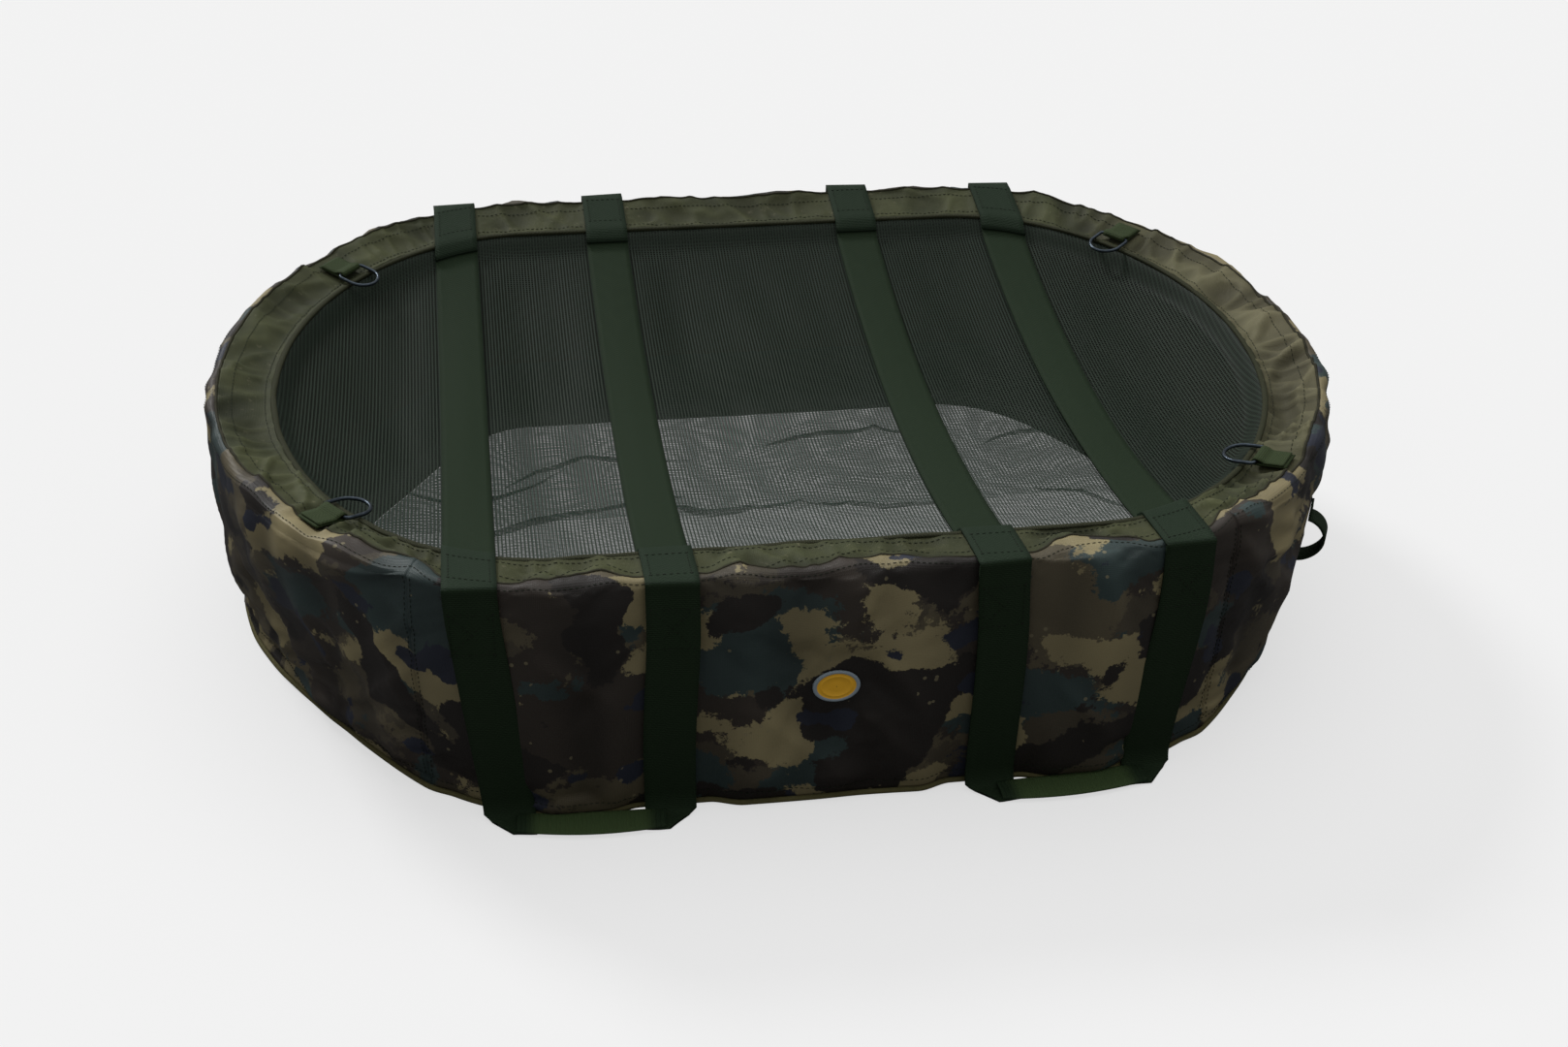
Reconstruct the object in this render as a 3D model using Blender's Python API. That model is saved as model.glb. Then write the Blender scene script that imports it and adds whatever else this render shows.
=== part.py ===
"""Oval fish cradle: a padded camouflage wall, a see-through mesh sling hung across it
under four webbing straps, a mesh base on the ground, four carrying handles and four
ground rings.

Metres, +Z up. X runs along the long side, -Y is the front, the origin is on the
ground under the middle of the oval.
"""
import bmesh
import bpy
from math import cos, pi, radians, sin, sqrt, tan
from mathutils import Vector

# Overall oval, measured over the rim
LENGTH = 1.200
WIDTH = 0.852
STRAIGHT = 0.516
HEIGHT = 0.265

# Padded wall, from the outside in
WALL = 0.065
COVER = 0.004
CROWN = 0.007
LINING = 0.0015
TOP_STRIP = 0.003
RIM_DISH = 0.011
BASE_STRIP = 0.003
PIPING = 0.006
SEAM_ANGLE = 24.0
SEAM_OPENING_ANGLE = 0.1

# Mesh sling across the rim
MESH = 0.0015
SLING_SAG = 0.042
BINDING = 0.010

# Mesh base on the ground, sewn a little way up the wall
BASE_CORNER = 0.035
BASE_TOP = 0.075
FOLD_HEIGHT = 0.009
FOLD_PITCH = 0.17
FOLD_SLANT = 0.35

# Webbing straps and carrying handles
WEBBING = 0.050
WEBBING_THICK = 0.0025
OUTER_STRAP_X = 0.338
INNER_STRAP_X = 0.155
GRIP = 0.026
FOOT_BEND = 0.014
FOOT_REACH = 0.034

# Ground rings and their tabs
RING_ANGLE = 44.0
RING_WIRE = 0.004
RING_INSIDE = 0.034
RING_DROP = 0.018
RING_CORNER = 0.0024
RING_INSET = 0.012
TAB_WEBBING = 0.030
TAB_THICK = 0.0015
TAB_LENGTH = 0.042
TAB_UPPER = 0.0386
TAB_WRAP = 120.0

# Small loop on the right end
LOOP_ANGLE = -33.0
LOOP_LOW = 0.108
LOOP_HIGH = 0.158
LOOP_REACH = 0.022
LOOP_SEAM = 0.012
LOOP_WEBBING = 0.025

# Oval badge on the front wall, with a raised rim
BADGE_X = 0.0
BADGE_Z = 0.138
BADGE_WIDTH = 0.046
BADGE_HEIGHT = 0.036
BADGE_THICK = 0.002
BADGE_SUNK = 0.0008
BADGE_FLAT = 0.86
BADGE_FIELD = 0.82

# Clearances: between sewn layers, under webbing on a curved face, at the mesh seams, off the ground
GAP = 0.0004
LAY = 0.0008
MESH_SEAM = 0.0012
GROUND_GAP = 0.0005

# How finely round stretches are cut
END_STEPS = 24
SEAM_STEPS = 4
CROWN_STEPS = 6
CORNER_STEPS = 4
BASE_COLUMNS = 24
MESH_ROWS = 12
END_COLUMNS = 6
BAY_COLUMNS = 3
WIRE_SIDES = 8
BOW_STEPS = 12
WRAP_STEPS = 7
LOOP_STEPS = 10
BADGE_STEPS = 24
SHARP_ANGLE = 40.0
SAME_POINT = 1e-6

PIPE_RADIUS = PIPING / 2
WALL_LOW = PIPING + GAP
WALL_HIGH = HEIGHT - RIM_DISH * PIPING / WALL - PIPING - GAP
CORE_IN = WALL - LINING - GAP
RIM_INNER = HEIGHT - RIM_DISH
RIM_WEB = GAP + WEBBING_THICK / 2
BOUND_LOW = RIM_INNER - BINDING
MESH_OUT = WALL + GAP
BINDING_IN = MESH_OUT + MESH + LAY + WEBBING_THICK + GAP
SLING_EDGE = MESH_OUT + MESH_SEAM
STRAP_LIFT = MESH / 2 + LAY + WEBBING_THICK / 2
SLING_TOP = BOUND_LOW - GAP - WEBBING_THICK / 2 - STRAP_LIFT
BASE_EDGE = MESH_OUT + BASE_CORNER + MESH_SEAM

STRAP_X = (-OUTER_STRAP_X, -INNER_STRAP_X, INNER_STRAP_X, OUTER_STRAP_X)
SIDES = (("front", -1), ("back", 1))
CORNERS = (("front_left", -1, -1), ("front_right", 1, -1), ("back_left", -1, 1), ("back_right", 1, 1))


def clear_scene():
    for item in list(bpy.data.objects):
        bpy.data.objects.remove(item, do_unlink=True)


def finish(name, colour, roughness, metallic=0.0):
    """A plain Principled material in the piece's own colour."""
    material = bpy.data.materials.new(name)
    material.use_nodes = True
    shader = material.node_tree.nodes["Principled BSDF"]
    shader.inputs["Base Color"].default_value = (*colour, 1.0)
    shader.inputs["Roughness"].default_value = roughness
    shader.inputs["Metallic"].default_value = metallic
    return material


def oval_point(angle, d, z, end):
    """A point on the oval, d inside its outer line, on the left (-1) or right (1) end."""
    x = end * STRAIGHT / 2 + ((LENGTH - STRAIGHT) / 2 - d) * cos(angle)
    return Vector((x, (WIDTH / 2 - d) * sin(angle), z))


def oval_y(x, d):
    """Distance from the long axis to the oval at x."""
    past = max(abs(x) - STRAIGHT / 2, 0.0) / ((LENGTH - STRAIGHT) / 2 - d)
    return (WIDTH / 2 - d) * sqrt(max(1.0 - past * past, 0.0))


def rim_z(d):
    """Height of the rim's top, which slopes down towards the sling."""
    return HEIGHT - RIM_DISH * min(max(d / WALL, 0.0), 1.0)


def crown(z):
    """How far the padded wall swells outwards at a height."""
    share = (z - WALL_LOW) / (WALL_HIGH - WALL_LOW)
    return CROWN * sin(pi * min(max(share, 0.0), 1.0))


def spread(low, high, steps):
    return [low + (high - low) * i / steps for i in range(steps + 1)]


def end_run(first, last, end, steps):
    """Stations round one end of the oval, as (angle, end) pairs, angles in degrees."""
    return [(radians(a), end) for a in spread(first, last, steps)]


def panel_runs():
    """The wall's four panels, cut a little way round from the straight sides."""
    seam = SEAM_ANGLE
    past = SEAM_ANGLE + SEAM_OPENING_ANGLE
    middle = END_STEPS - 2 * SEAM_STEPS
    return {
        "right": end_run(-90 + past, 90 - past, 1, middle),
        "back": end_run(90 - seam, 90, 1, SEAM_STEPS) + end_run(90, 90 + seam, -1, SEAM_STEPS),
        "left": end_run(90 + past, 270 - past, -1, middle),
        "front": end_run(270 - seam, 270, -1, SEAM_STEPS) + end_run(-90, -90 + seam, 1, SEAM_STEPS),
    }


def whole_oval():
    """Every station of the four panels in turn, so that all layers are cut alike."""
    return [station for run in panel_runs().values() for station in run]


def link(name, bm, material):
    bmesh.ops.remove_doubles(bm, verts=bm.verts, dist=SAME_POINT)
    bmesh.ops.recalc_face_normals(bm, faces=bm.faces)
    mesh = bpy.data.meshes.new(name)
    bm.to_mesh(mesh)
    bm.free()
    mesh.shade_smooth()
    mesh.set_sharp_from_angle(angle=radians(SHARP_ANGLE))
    item = bpy.data.objects.new(name, mesh)
    item.data.materials.append(material)
    bpy.context.scene.collection.objects.link(item)
    return item


def sweep(name, profile, stations, material, closed):
    """Sweep a closed (d, z) profile round the oval's stations."""
    bm = bmesh.new()
    rows = [[bm.verts.new(oval_point(a, d, z, end)) for d, z in profile] for a, end in stations]
    count = len(profile)
    spans = list(zip(rows, rows[1:]))
    if closed:
        spans.append((rows[-1], rows[0]))
    for near, far in spans:
        for i in range(count):
            j = (i + 1) % count
            bm.faces.new((near[i], near[j], far[j], far[i]))
    if not closed:
        bm.faces.new(rows[0])
        bm.faces.new(rows[-1])
    return link(name, bm, material)


def sheet(name, points, cells, thickness, material, origin=None):
    """A thin solid on a middle surface: points by key, cells as tuples of keys."""
    bm = bmesh.new()
    shift = origin or Vector((0, 0, 0))
    verts = {key: bm.verts.new(point - shift) for key, point in points.items()}
    for cell in cells:
        bm.faces.new([verts[key] for key in cell])
    item = link(name, bm, material)
    item.location = shift
    solid = item.modifiers.new("thickness", "SOLIDIFY")
    solid.thickness = thickness
    solid.offset = 0.0
    solid.use_even_offset = True
    return item


def grid_cells(columns, rows):
    return [((i, j), (i + 1, j), (i + 1, j + 1), (i, j + 1))
            for i in range(columns - 1) for j in range(rows - 1)]


def make_wall(materials):
    """Covers, padding, lining, top and base strips, and the piping round both edges."""
    heights = spread(WALL_LOW, WALL_HIGH, CROWN_STEPS)
    outside = [(-crown(z), z) for z in heights]
    inside = [(COVER - crown(z), z) for z in reversed(heights)]
    core_low = BASE_STRIP + GAP
    under = TOP_STRIP + GAP
    corner_d = PIPING + GAP
    padded = [(COVER + GAP - crown(z), z) for z in heights[1:-1]]
    core = [(corner_d, core_low), (corner_d, heights[0]), *padded, (corner_d, heights[-1]),
            (corner_d, rim_z(corner_d) - under), (CORE_IN, rim_z(CORE_IN) - under), (CORE_IN, core_low)]
    for side, stations in panel_runs().items():
        sweep(f"outer_wall_{side}", outside + inside, stations, materials["camo"], False)
        sweep(f"wall_padding_{side}", core, stations, materials["foam"], False)
    oval = whole_oval()
    edges = (corner_d, WALL)
    top = [(d, rim_z(d)) for d in edges] + [(d, rim_z(d) - TOP_STRIP) for d in reversed(edges)]
    sweep("rim_top_strip", top, oval, materials["olive"], True)
    base = [(corner_d, 0.0), (corner_d, BASE_STRIP), (WALL, BASE_STRIP), (WALL, 0.0)]
    sweep("wall_base_strip", base, oval, materials["base"], True)
    lining_top = RIM_INNER - under
    lining = [(WALL - LINING, core_low), (WALL - LINING, lining_top), (WALL, lining_top), (WALL, core_low)]
    sweep("inner_wall_lining", lining, oval, materials["lining"], True)
    for name, middle in (("rim_piping", rim_z(PIPING) - PIPE_RADIUS), ("base_piping", PIPE_RADIUS + GROUND_GAP)):
        turns = [2 * pi * (i + 0.5) / WIRE_SIDES for i in range(WIRE_SIDES)]
        ring = [(PIPE_RADIUS + PIPE_RADIUS * cos(a), middle + PIPE_RADIUS * sin(a)) for a in turns]
        sweep(name, ring, oval, materials["piping"], True)


def make_oval_mesh(name, columns, edge, low_z, materials):
    """A mesh sheet that fills the oval d = edge, in columns along x and rows across."""
    rows = spread(-1.0, 1.0, MESH_ROWS)
    bm = bmesh.new()
    layers = []
    for lift in (0.0, MESH):
        layers.append([[bm.verts.new((x, v * oval_y(x, edge), low_z(x, v) + lift)) for v in rows]
                       for x in columns])
    low, high = layers
    last_column = len(columns) - 1
    last_row = len(rows) - 1
    for (i, j), b, c, d in grid_cells(len(columns), len(rows)):
        for layer in layers:
            bm.faces.new((layer[i][j], layer[b[0]][b[1]], layer[c[0]][c[1]], layer[d[0]][d[1]]))
    for i in range(last_column):
        for j in (0, last_row):
            bm.faces.new((low[i][j], low[i + 1][j], high[i + 1][j], high[i][j]))
    for i in (0, last_column):
        for j in range(last_row):
            bm.faces.new((low[i][j], low[i][j + 1], high[i][j + 1], high[i][j]))
    bmesh.ops.remove_doubles(bm, verts=bm.verts, dist=SAME_POINT)
    bmesh.ops.dissolve_degenerate(bm, edges=bm.edges, dist=SAME_POINT)
    link(name, bm, materials["mesh"])


def base_fold(x, v):
    """Underside of the slack base: soft ridges that die out towards its edge."""
    ridge = 0.5 + 0.5 * sin(2 * pi * (v * oval_y(x, BASE_EDGE) + FOLD_SLANT * x) / FOLD_PITCH)
    along = 1.0 - (x / (LENGTH / 2 - BASE_EDGE)) ** 2
    return GROUND_GAP + FOLD_HEIGHT * ridge * (1.0 - v * v) * along


def make_base(materials):
    """The mesh base: a floor with slack folds and a rounded foot that climbs the wall."""
    turn = [pi / 2 * i / CORNER_STEPS for i in range(CORNER_STEPS + 1)]
    middle_z = GROUND_GAP + BASE_CORNER
    bend = [(MESH_OUT + BASE_CORNER * (1 - cos(a)), middle_z - BASE_CORNER * sin(a)) for a in turn]
    inner = BASE_CORNER - MESH
    back = [(MESH_OUT + BASE_CORNER - inner * cos(a), middle_z - inner * sin(a)) for a in reversed(turn)]
    profile = [(MESH_OUT, BASE_TOP), *bend, *back, (MESH_OUT + MESH, BASE_TOP)]
    sweep("base_mesh_foot", profile, whole_oval(), materials["mesh"], True)
    tip = LENGTH / 2 - BASE_EDGE
    columns = [tip * sin(pi / 2 * share) for share in spread(-1.0, 1.0, BASE_COLUMNS)]
    make_oval_mesh("base_mesh", columns, BASE_EDGE, base_fold, materials)


def sling_columns():
    """Columns of the sling: both edges of every strap, the bays between, the round ends."""
    half = WEBBING / 2
    edges = [x + side for x in STRAP_X for side in (-half, half)]
    outer = edges[-1]
    run = LENGTH / 2 - SLING_EDGE - outer
    end = [outer + run * sin(pi / 2 * share) for share in spread(0.0, 1.0, END_COLUMNS)[1:]]
    bays = []
    for left, right in zip(edges[1:-1:2], edges[2:-1:2]):
        bays += spread(left, right, BAY_COLUMNS)[1:-1]
    return sorted([-x for x in end] + edges + bays + end)


def sling_middle(x, v):
    """Height of the sling's middle surface, which sags level across each strap."""
    at = next((s for s in STRAP_X if abs(x - s) < WEBBING / 2 + GAP), x)
    share = oval_y(at, SLING_EDGE) / oval_y(0.0, SLING_EDGE)
    return SLING_TOP - SLING_SAG * share * share * (1.0 - v * v)


def make_sling(materials):
    """The mesh sling, the bound edge above it and the four straps that lie across it."""
    bound = [(MESH_OUT, BOUND_LOW), (MESH_OUT, RIM_INNER), (BINDING_IN, RIM_INNER), (BINDING_IN, BOUND_LOW)]
    sweep("rim_inner_binding", bound, whole_oval(), materials["binding"], True)
    make_oval_mesh("sling_mesh", sling_columns(), SLING_EDGE,
                   lambda x, v: sling_middle(x, v) - MESH / 2, materials)
    rows = spread(-1.0, 1.0, MESH_ROWS)
    for number, x in enumerate(STRAP_X, 1):
        points = {}
        for i, cx in enumerate((x - WEBBING / 2, x + WEBBING / 2)):
            for j, v in enumerate(rows):
                points[(i, j)] = Vector((cx, v * oval_y(cx, SLING_EDGE), sling_middle(cx, v) + STRAP_LIFT))
        sheet(f"sling_strap_{number}", points, grid_cells(2, len(rows)), WEBBING_THICK, materials["webbing"])


def handle_line(side, xs):
    """A handle's hinge line over the rim: a point, its direction and the outward normal."""
    ends = [Vector((x, side * oval_y(x, 0.0), 0.0)) for x in xs]
    along = (ends[1] - ends[0]).normalized()
    out = Vector((along.y, -along.x, 0.0))
    if out.y * side < 0:
        out = -out
    return ends[0], along, out


def leg_samples(xs):
    return [x + WEBBING / 2 * share for x in xs for share in (-1.0, -0.5, 0.0, 0.5, 1.0)]


def wall_reach(side, xs, z, start, out):
    """How far the wall stands out past the hinge line under the legs, at a height."""
    swell = crown(z)
    return max((Vector((x, side * oval_y(x, -swell), 0.0)) - start).dot(out) for x in leg_samples(xs))


def handle_path(side, xs):
    """The handle's side view, as (outward, z) steps from the hinge down to the ground."""
    start, _, out = handle_line(side, xs)
    stand_off = LAY + WEBBING_THICK / 2
    hinge = wall_reach(side, xs, HEIGHT, start, out) + stand_off
    heights = spread(WALL_HIGH, FOOT_BEND + WALL_LOW, CROWN_STEPS)
    path = [(hinge, HEIGHT + RIM_WEB)]
    path += [(max(wall_reach(side, xs, z, start, out) + stand_off, hinge), z) for z in heights]
    foot = max(wall_reach(side, xs, 0.0, start, out) + stand_off, path[-1][0])
    floor = GROUND_GAP + WEBBING_THICK / 2
    for a in (pi / 6, pi / 3, pi / 2):
        path.append((foot + FOOT_BEND * (1 - cos(a)), floor + FOOT_BEND * (1 - sin(a))))
    path.append((foot + FOOT_BEND + FOOT_REACH - GRIP, floor))
    path.append((foot + FOOT_BEND + FOOT_REACH, floor))
    return path


def make_handle(name, side, xs, materials):
    """Two webbing legs and the folded grip between them, hinged where they leave the rim."""
    start, along, out = handle_line(side, xs)
    path = handle_path(side, xs)
    hinge = start + out * path[0][0] + Vector((0, 0, path[0][1]))
    half = WEBBING / 2
    span = (Vector((xs[1], 0, 0)) - Vector((xs[0], 0, 0))).dot(along)
    columns = [-half, -half + GRIP, half, span - half, span + half - GRIP, span + half]
    last = len(path) - 1
    outer = (0, len(columns) - 1)
    points = {}
    for i, u in enumerate(columns):
        for j, (n, z) in enumerate(path):
            if j == last and i in outer:
                continue
            points[(i, j)] = start + along * u + out * n + Vector((0, 0, z))
    cells = []
    for i in (0, 1, 3, 4):
        for j in range(last - 1):
            cells.append(((i, j), (i + 1, j), (i + 1, j + 1), (i, j + 1)))
    for i in (1, 2, 3):
        cells.append(((i, last - 1), (i + 1, last - 1), (i + 1, last), (i, last)))
    cells.append(((0, last - 1), (1, last - 1), (1, last)))
    cells.append(((4, last - 1), (5, last - 1), (4, last)))
    used = {key for cell in cells for key in cell}
    points = {key: point for key, point in points.items() if key in used}
    sheet(name, points, cells, WEBBING_THICK, materials["webbing"], origin=hinge)


def make_rim_webbing(side_name, side, number, x, hinge_xs, materials):
    """The sewn stretch of webbing across the rim, ending just short of its handle."""
    start, along, out = handle_line(side, hinge_xs)
    hinge = handle_path(side, hinge_xs)[0][0]
    end = hinge - WEBBING_THICK / 2 - GAP
    points = {}
    for i, share in enumerate((-0.5, 0.0, 0.5)):
        cx = x + WEBBING * share
        u = (Vector((cx, 0, 0)) - Vector((start.x, 0, 0))).dot(along)
        points[(i, 0)] = Vector((cx, side * oval_y(cx, BINDING_IN), RIM_INNER + RIM_WEB))
        points[(i, 1)] = Vector((cx, side * oval_y(cx, WALL), RIM_INNER + RIM_WEB))
        points[(i, 2)] = Vector((cx, side * oval_y(cx, 0.0), HEIGHT + RIM_WEB))
        points[(i, 3)] = start + along * u + out * end + Vector((0, 0, HEIGHT + RIM_WEB))
    sheet(f"rim_webbing_{side_name}_{number}", points, grid_cells(3, 4), WEBBING_THICK, materials["webbing"])


def make_handles(materials):
    for side_name, side in SIDES:
        for pair_name, numbers in (("left", (0, 1)), ("right", (2, 3))):
            xs = [STRAP_X[n] for n in numbers]
            make_handle(f"handle_{side_name}_{pair_name}", side, xs, materials)
            for n in numbers:
                make_rim_webbing(side_name, side, n + 1, STRAP_X[n], xs, materials)


def ring_seat(sx, sy):
    """Middle of a ring's straight bar on the rim, with the ways in, along the bar and up."""
    angle = radians(RING_ANGLE)
    edge = oval_point(angle, 0.0, 0.0, 1)
    across = (LENGTH - STRAIGHT) / 2 * sin(angle)
    inward = Vector((-WIDTH / 2 * cos(angle) * sx, -across * sy, 0.0)).normalized()
    inward.z = -RIM_DISH / WALL
    inward.normalize()
    line = Vector((-inward.y, inward.x, 0.0)).normalized()
    up = inward.cross(line)
    reach = WALL - RING_INSET
    lift = GAP + TAB_THICK + GAP + RING_WIRE / 2
    seat = Vector((edge.x * sx, edge.y * sy, HEIGHT)) + inward * reach + up * lift
    return seat, inward, line, up


def make_ring(name, sx, sy, materials):
    """A wire D-ring: straight bar in the tab, round bow lying in over the mesh."""
    seat, inward, line, up = ring_seat(sx, sy)
    half = (RING_INSIDE + RING_WIRE) / 2
    bow = [(half * cos(a), RING_DROP + half * sin(a)) for a in spread(0.0, pi, BOW_STEPS)]
    path = [(-half + RING_CORNER, 0.0), (0.0, 0.0), (half - RING_CORNER, 0.0), (half, RING_CORNER),
            *bow, (-half, RING_CORNER)]
    bm = bmesh.new()
    rows = []
    count = len(path)
    for i, (u, v) in enumerate(path):
        before = path[i - 1]
        after = path[(i + 1) % count]
        way = Vector((after[0] - before[0], after[1] - before[1])).normalized()
        normal = line * way.y - inward * way.x
        centre = line * u + inward * v
        row = []
        for k in range(WIRE_SIDES):
            a = 2 * pi * (k + 0.5) / WIRE_SIDES
            offset = normal * cos(a) + up * sin(a)
            row.append(bm.verts.new(centre + offset * RING_WIRE / 2))
        rows.append(row)
    for near, far in zip(rows, rows[1:] + rows[:1]):
        for k in range(WIRE_SIDES):
            m = (k + 1) % WIRE_SIDES
            bm.faces.new((near[k], near[m], far[m], far[k]))
    ring = link(name, bm, materials["metal"])
    ring.location = seat


def make_ring_tab(name, sx, sy, materials):
    """A short webbing tab, sewn flat on the rim and folded once round the ring's bar."""
    seat, inward, line, up = ring_seat(sx, sy)
    round_bar = RING_WIRE / 2 + GAP + TAB_THICK / 2
    flat_z = -round_bar
    upper = flat_z + TAB_THICK + GAP
    path = [(-TAB_LENGTH, flat_z), (-TAB_LENGTH / 2, flat_z)]
    for a in spread(-90.0, TAB_WRAP, WRAP_STEPS):
        path.append((round_bar * cos(radians(a)), round_bar * sin(radians(a))))
    run = (path[-1][1] - upper) / tan(radians(TAB_WRAP - 90.0))
    path += [(path[-1][0] - run, upper), (-TAB_UPPER, upper)]
    points = {}
    for i, u in enumerate((-TAB_WEBBING / 2, TAB_WEBBING / 2)):
        for j, (n, z) in enumerate(path):
            points[(i, j)] = seat + line * u + inward * n + up * z
    sheet(name, points, grid_cells(2, len(path)), TAB_THICK, materials["webbing"])


def make_rings(materials):
    for corner, sx, sy in CORNERS:
        make_ring_tab(f"ring_tab_{corner}", sx, sy, materials)
        make_ring(f"ground_ring_{corner}", sx, sy, materials)


def make_end_loop(materials):
    """A small loop of webbing sewn on the right end, standing out from the wall."""
    middle = (LOOP_LOW + LOOP_HIGH) / 2
    tall = (LOOP_HIGH - LOOP_LOW) / 2
    stand_off = GAP + WEBBING_THICK / 2
    half = LOOP_WEBBING / 2
    steps = [(stand_off, LOOP_HIGH + LOOP_SEAM)]
    steps += [(stand_off + LOOP_REACH * sin(a), middle + tall * cos(a)) for a in spread(0.0, pi, LOOP_STEPS)]
    steps += [(stand_off, LOOP_LOW - LOOP_SEAM)]
    edge = (LENGTH - STRAIGHT) / 2
    points = {}
    for i, u in enumerate((-half, 0.0, half)):
        turn = radians(LOOP_ANGLE) + u / edge
        out = Vector((cos(turn), sin(turn), 0.0))
        for j, (reach, z) in enumerate(steps):
            points[(i, j)] = oval_point(turn, -crown(z), z, 1) + out * reach
    sheet("end_loop", points, grid_cells(3, len(steps)), WEBBING_THICK, materials["webbing"])


def make_badge(materials):
    """A bare oval badge with a raised rim, lying on the front wall."""
    bm = bmesh.new()
    turns = [2 * pi * i / BADGE_STEPS for i in range(BADGE_STEPS)]
    face = oval_y(BADGE_X, -CROWN) + GAP
    levels = ((1.0, 0.0), (1.0, BADGE_THICK), (BADGE_FLAT, BADGE_THICK), (BADGE_FIELD, BADGE_THICK - BADGE_SUNK))
    rings = []
    for share, lift in levels:
        row = []
        for a in turns:
            x = BADGE_X + BADGE_WIDTH / 2 * share * cos(a)
            z = BADGE_Z + BADGE_HEIGHT / 2 * share * sin(a)
            row.append(bm.verts.new((x, -face - lift, z)))
        rings.append(row)
    for near, far in zip(rings, rings[1:]):
        for i in range(BADGE_STEPS):
            j = (i + 1) % BADGE_STEPS
            bm.faces.new((near[i], near[j], far[j], far[i]))
    bm.faces.new(rings[0])
    bm.faces.new(rings[-1])
    link("badge", bm, materials["badge"])


def make_materials():
    return {
        "camo": finish("printed_camouflage", (0.045, 0.040, 0.028), 0.75),
        "olive": finish("olive_top_fabric", (0.060, 0.056, 0.034), 0.75),
        "base": finish("coated_base_fabric", (0.020, 0.026, 0.020), 0.70),
        "foam": finish("closed_cell_foam", (0.080, 0.080, 0.080), 0.90),
        "lining": finish("dark_lining", (0.012, 0.015, 0.012), 0.80),
        "piping": finish("corded_piping", (0.030, 0.030, 0.020), 0.75),
        "mesh": finish("woven_mesh", (0.014, 0.020, 0.016), 0.60),
        "binding": finish("binding_tape", (0.012, 0.016, 0.012), 0.80),
        "webbing": finish("green_webbing", (0.014, 0.024, 0.014), 0.80),
        "metal": finish("black_nickel_wire", (0.10, 0.11, 0.12), 0.35, 1.0),
        "badge": finish("moulded_badge", (0.50, 0.30, 0.05), 0.50),
    }


def main():
    clear_scene()
    materials = make_materials()
    make_wall(materials)
    make_base(materials)
    make_sling(materials)
    make_handles(materials)
    make_rings(materials)
    make_end_loop(materials)
    make_badge(materials)


main()
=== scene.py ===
# %% [markdown]
# # Oval padded fish cradle
# A soft, open-topped cradle that a landed fish is laid in. A padded wall in camouflage cloth
# stands round it, a see-through mesh sling hangs across the rim under four webbing straps, and
# a slack mesh base lies on the ground. Four carrying handles and four D-rings move.
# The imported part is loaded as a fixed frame, and each soft piece is drawn again around it.

# %% Load the frame
from math import cos, pi, radians, sin

import bpy
import numpy as np
from mathutils import Matrix, Vector, noise


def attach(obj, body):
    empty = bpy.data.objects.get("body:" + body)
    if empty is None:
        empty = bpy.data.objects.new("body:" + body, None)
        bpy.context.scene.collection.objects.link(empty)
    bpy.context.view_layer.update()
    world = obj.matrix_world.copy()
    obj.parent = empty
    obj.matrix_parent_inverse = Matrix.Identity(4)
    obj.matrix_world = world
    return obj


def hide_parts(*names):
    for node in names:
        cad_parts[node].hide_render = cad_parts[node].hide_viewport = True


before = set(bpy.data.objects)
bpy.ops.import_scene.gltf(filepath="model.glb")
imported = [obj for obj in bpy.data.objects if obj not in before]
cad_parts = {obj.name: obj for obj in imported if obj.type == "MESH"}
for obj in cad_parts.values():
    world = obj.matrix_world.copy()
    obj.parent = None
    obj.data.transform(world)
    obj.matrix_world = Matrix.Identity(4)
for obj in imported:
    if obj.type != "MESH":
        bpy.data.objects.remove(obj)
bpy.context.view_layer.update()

# %% [markdown]
# ## Sizes
# The same driving sizes as the part, in metres. `d` is always the distance inwards from the
# rim's outer line, and `s` is the length along that line, from the front's left corner.

# %% Sizes
LENGTH, WIDTH, STRAIGHT, HEIGHT = 1.200, 0.852, 0.516, 0.265
WALL, RIM_DISH, CROWN, WALL_LOW = 0.065, 0.011, 0.007, 0.0064
RADIUS_X, RADIUS_Y = (LENGTH - STRAIGHT) / 2, WIDTH / 2
STRAP_X = (-0.338, -0.155, 0.155, 0.338)
WEBBING, WEBBING_THICK = 0.050, 0.0025
SLING_EDGE, SLING_TOP, SLING_SAG, STRAP_LIFT = 0.0666, 0.23955, 0.042, 0.0028
BINDING_MIDDLE, BINDING_DROP, RIM_INNER = 0.0658, 0.0045, HEIGHT - RIM_DISH
BASE_EDGE, BASE_CORNER, BASE_TOP, MESH_D, GROUND_GAP = 0.1016, 0.035, 0.075, 0.0662, 0.0010
SIDES = {"front": -1, "back": 1}
PAIRS = {"left": STRAP_X[:2], "right": STRAP_X[2:]}
CORNERS = {"front_left": (-1, -1), "front_right": (1, -1), "back_left": (-1, 1), "back_right": (1, 1)}


# %% [markdown]
# ## The oval
# The rim is two straight runs and two half ellipses, walked once round by arc length. The real
# wall is soft and its foot is drawn in at the round corners, more on the left than on the
# right, so `oval` leans every layer of the wall in by the same amount below the rim.

# %% Oval
def walk_oval(count=2000):
    """Arc length, centre x, angle, x and y of close points round the rim's outer line."""
    half = STRAIGHT / 2
    turn = np.linspace(-pi / 2, pi / 2, count)
    line = np.linspace(-half, half, count)
    centre = np.concatenate([line, np.full(count, half), -line, np.full(count, -half)])
    angle = np.concatenate([np.full(count, -pi / 2), turn, np.full(count, pi / 2), turn + pi])
    x, y = centre + RADIUS_X * np.cos(angle), RADIUS_Y * np.sin(angle)
    length = np.concatenate([[0.0], np.cumsum(np.hypot(np.diff(x), np.diff(y)))])
    return length, centre, angle, x, y


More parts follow.
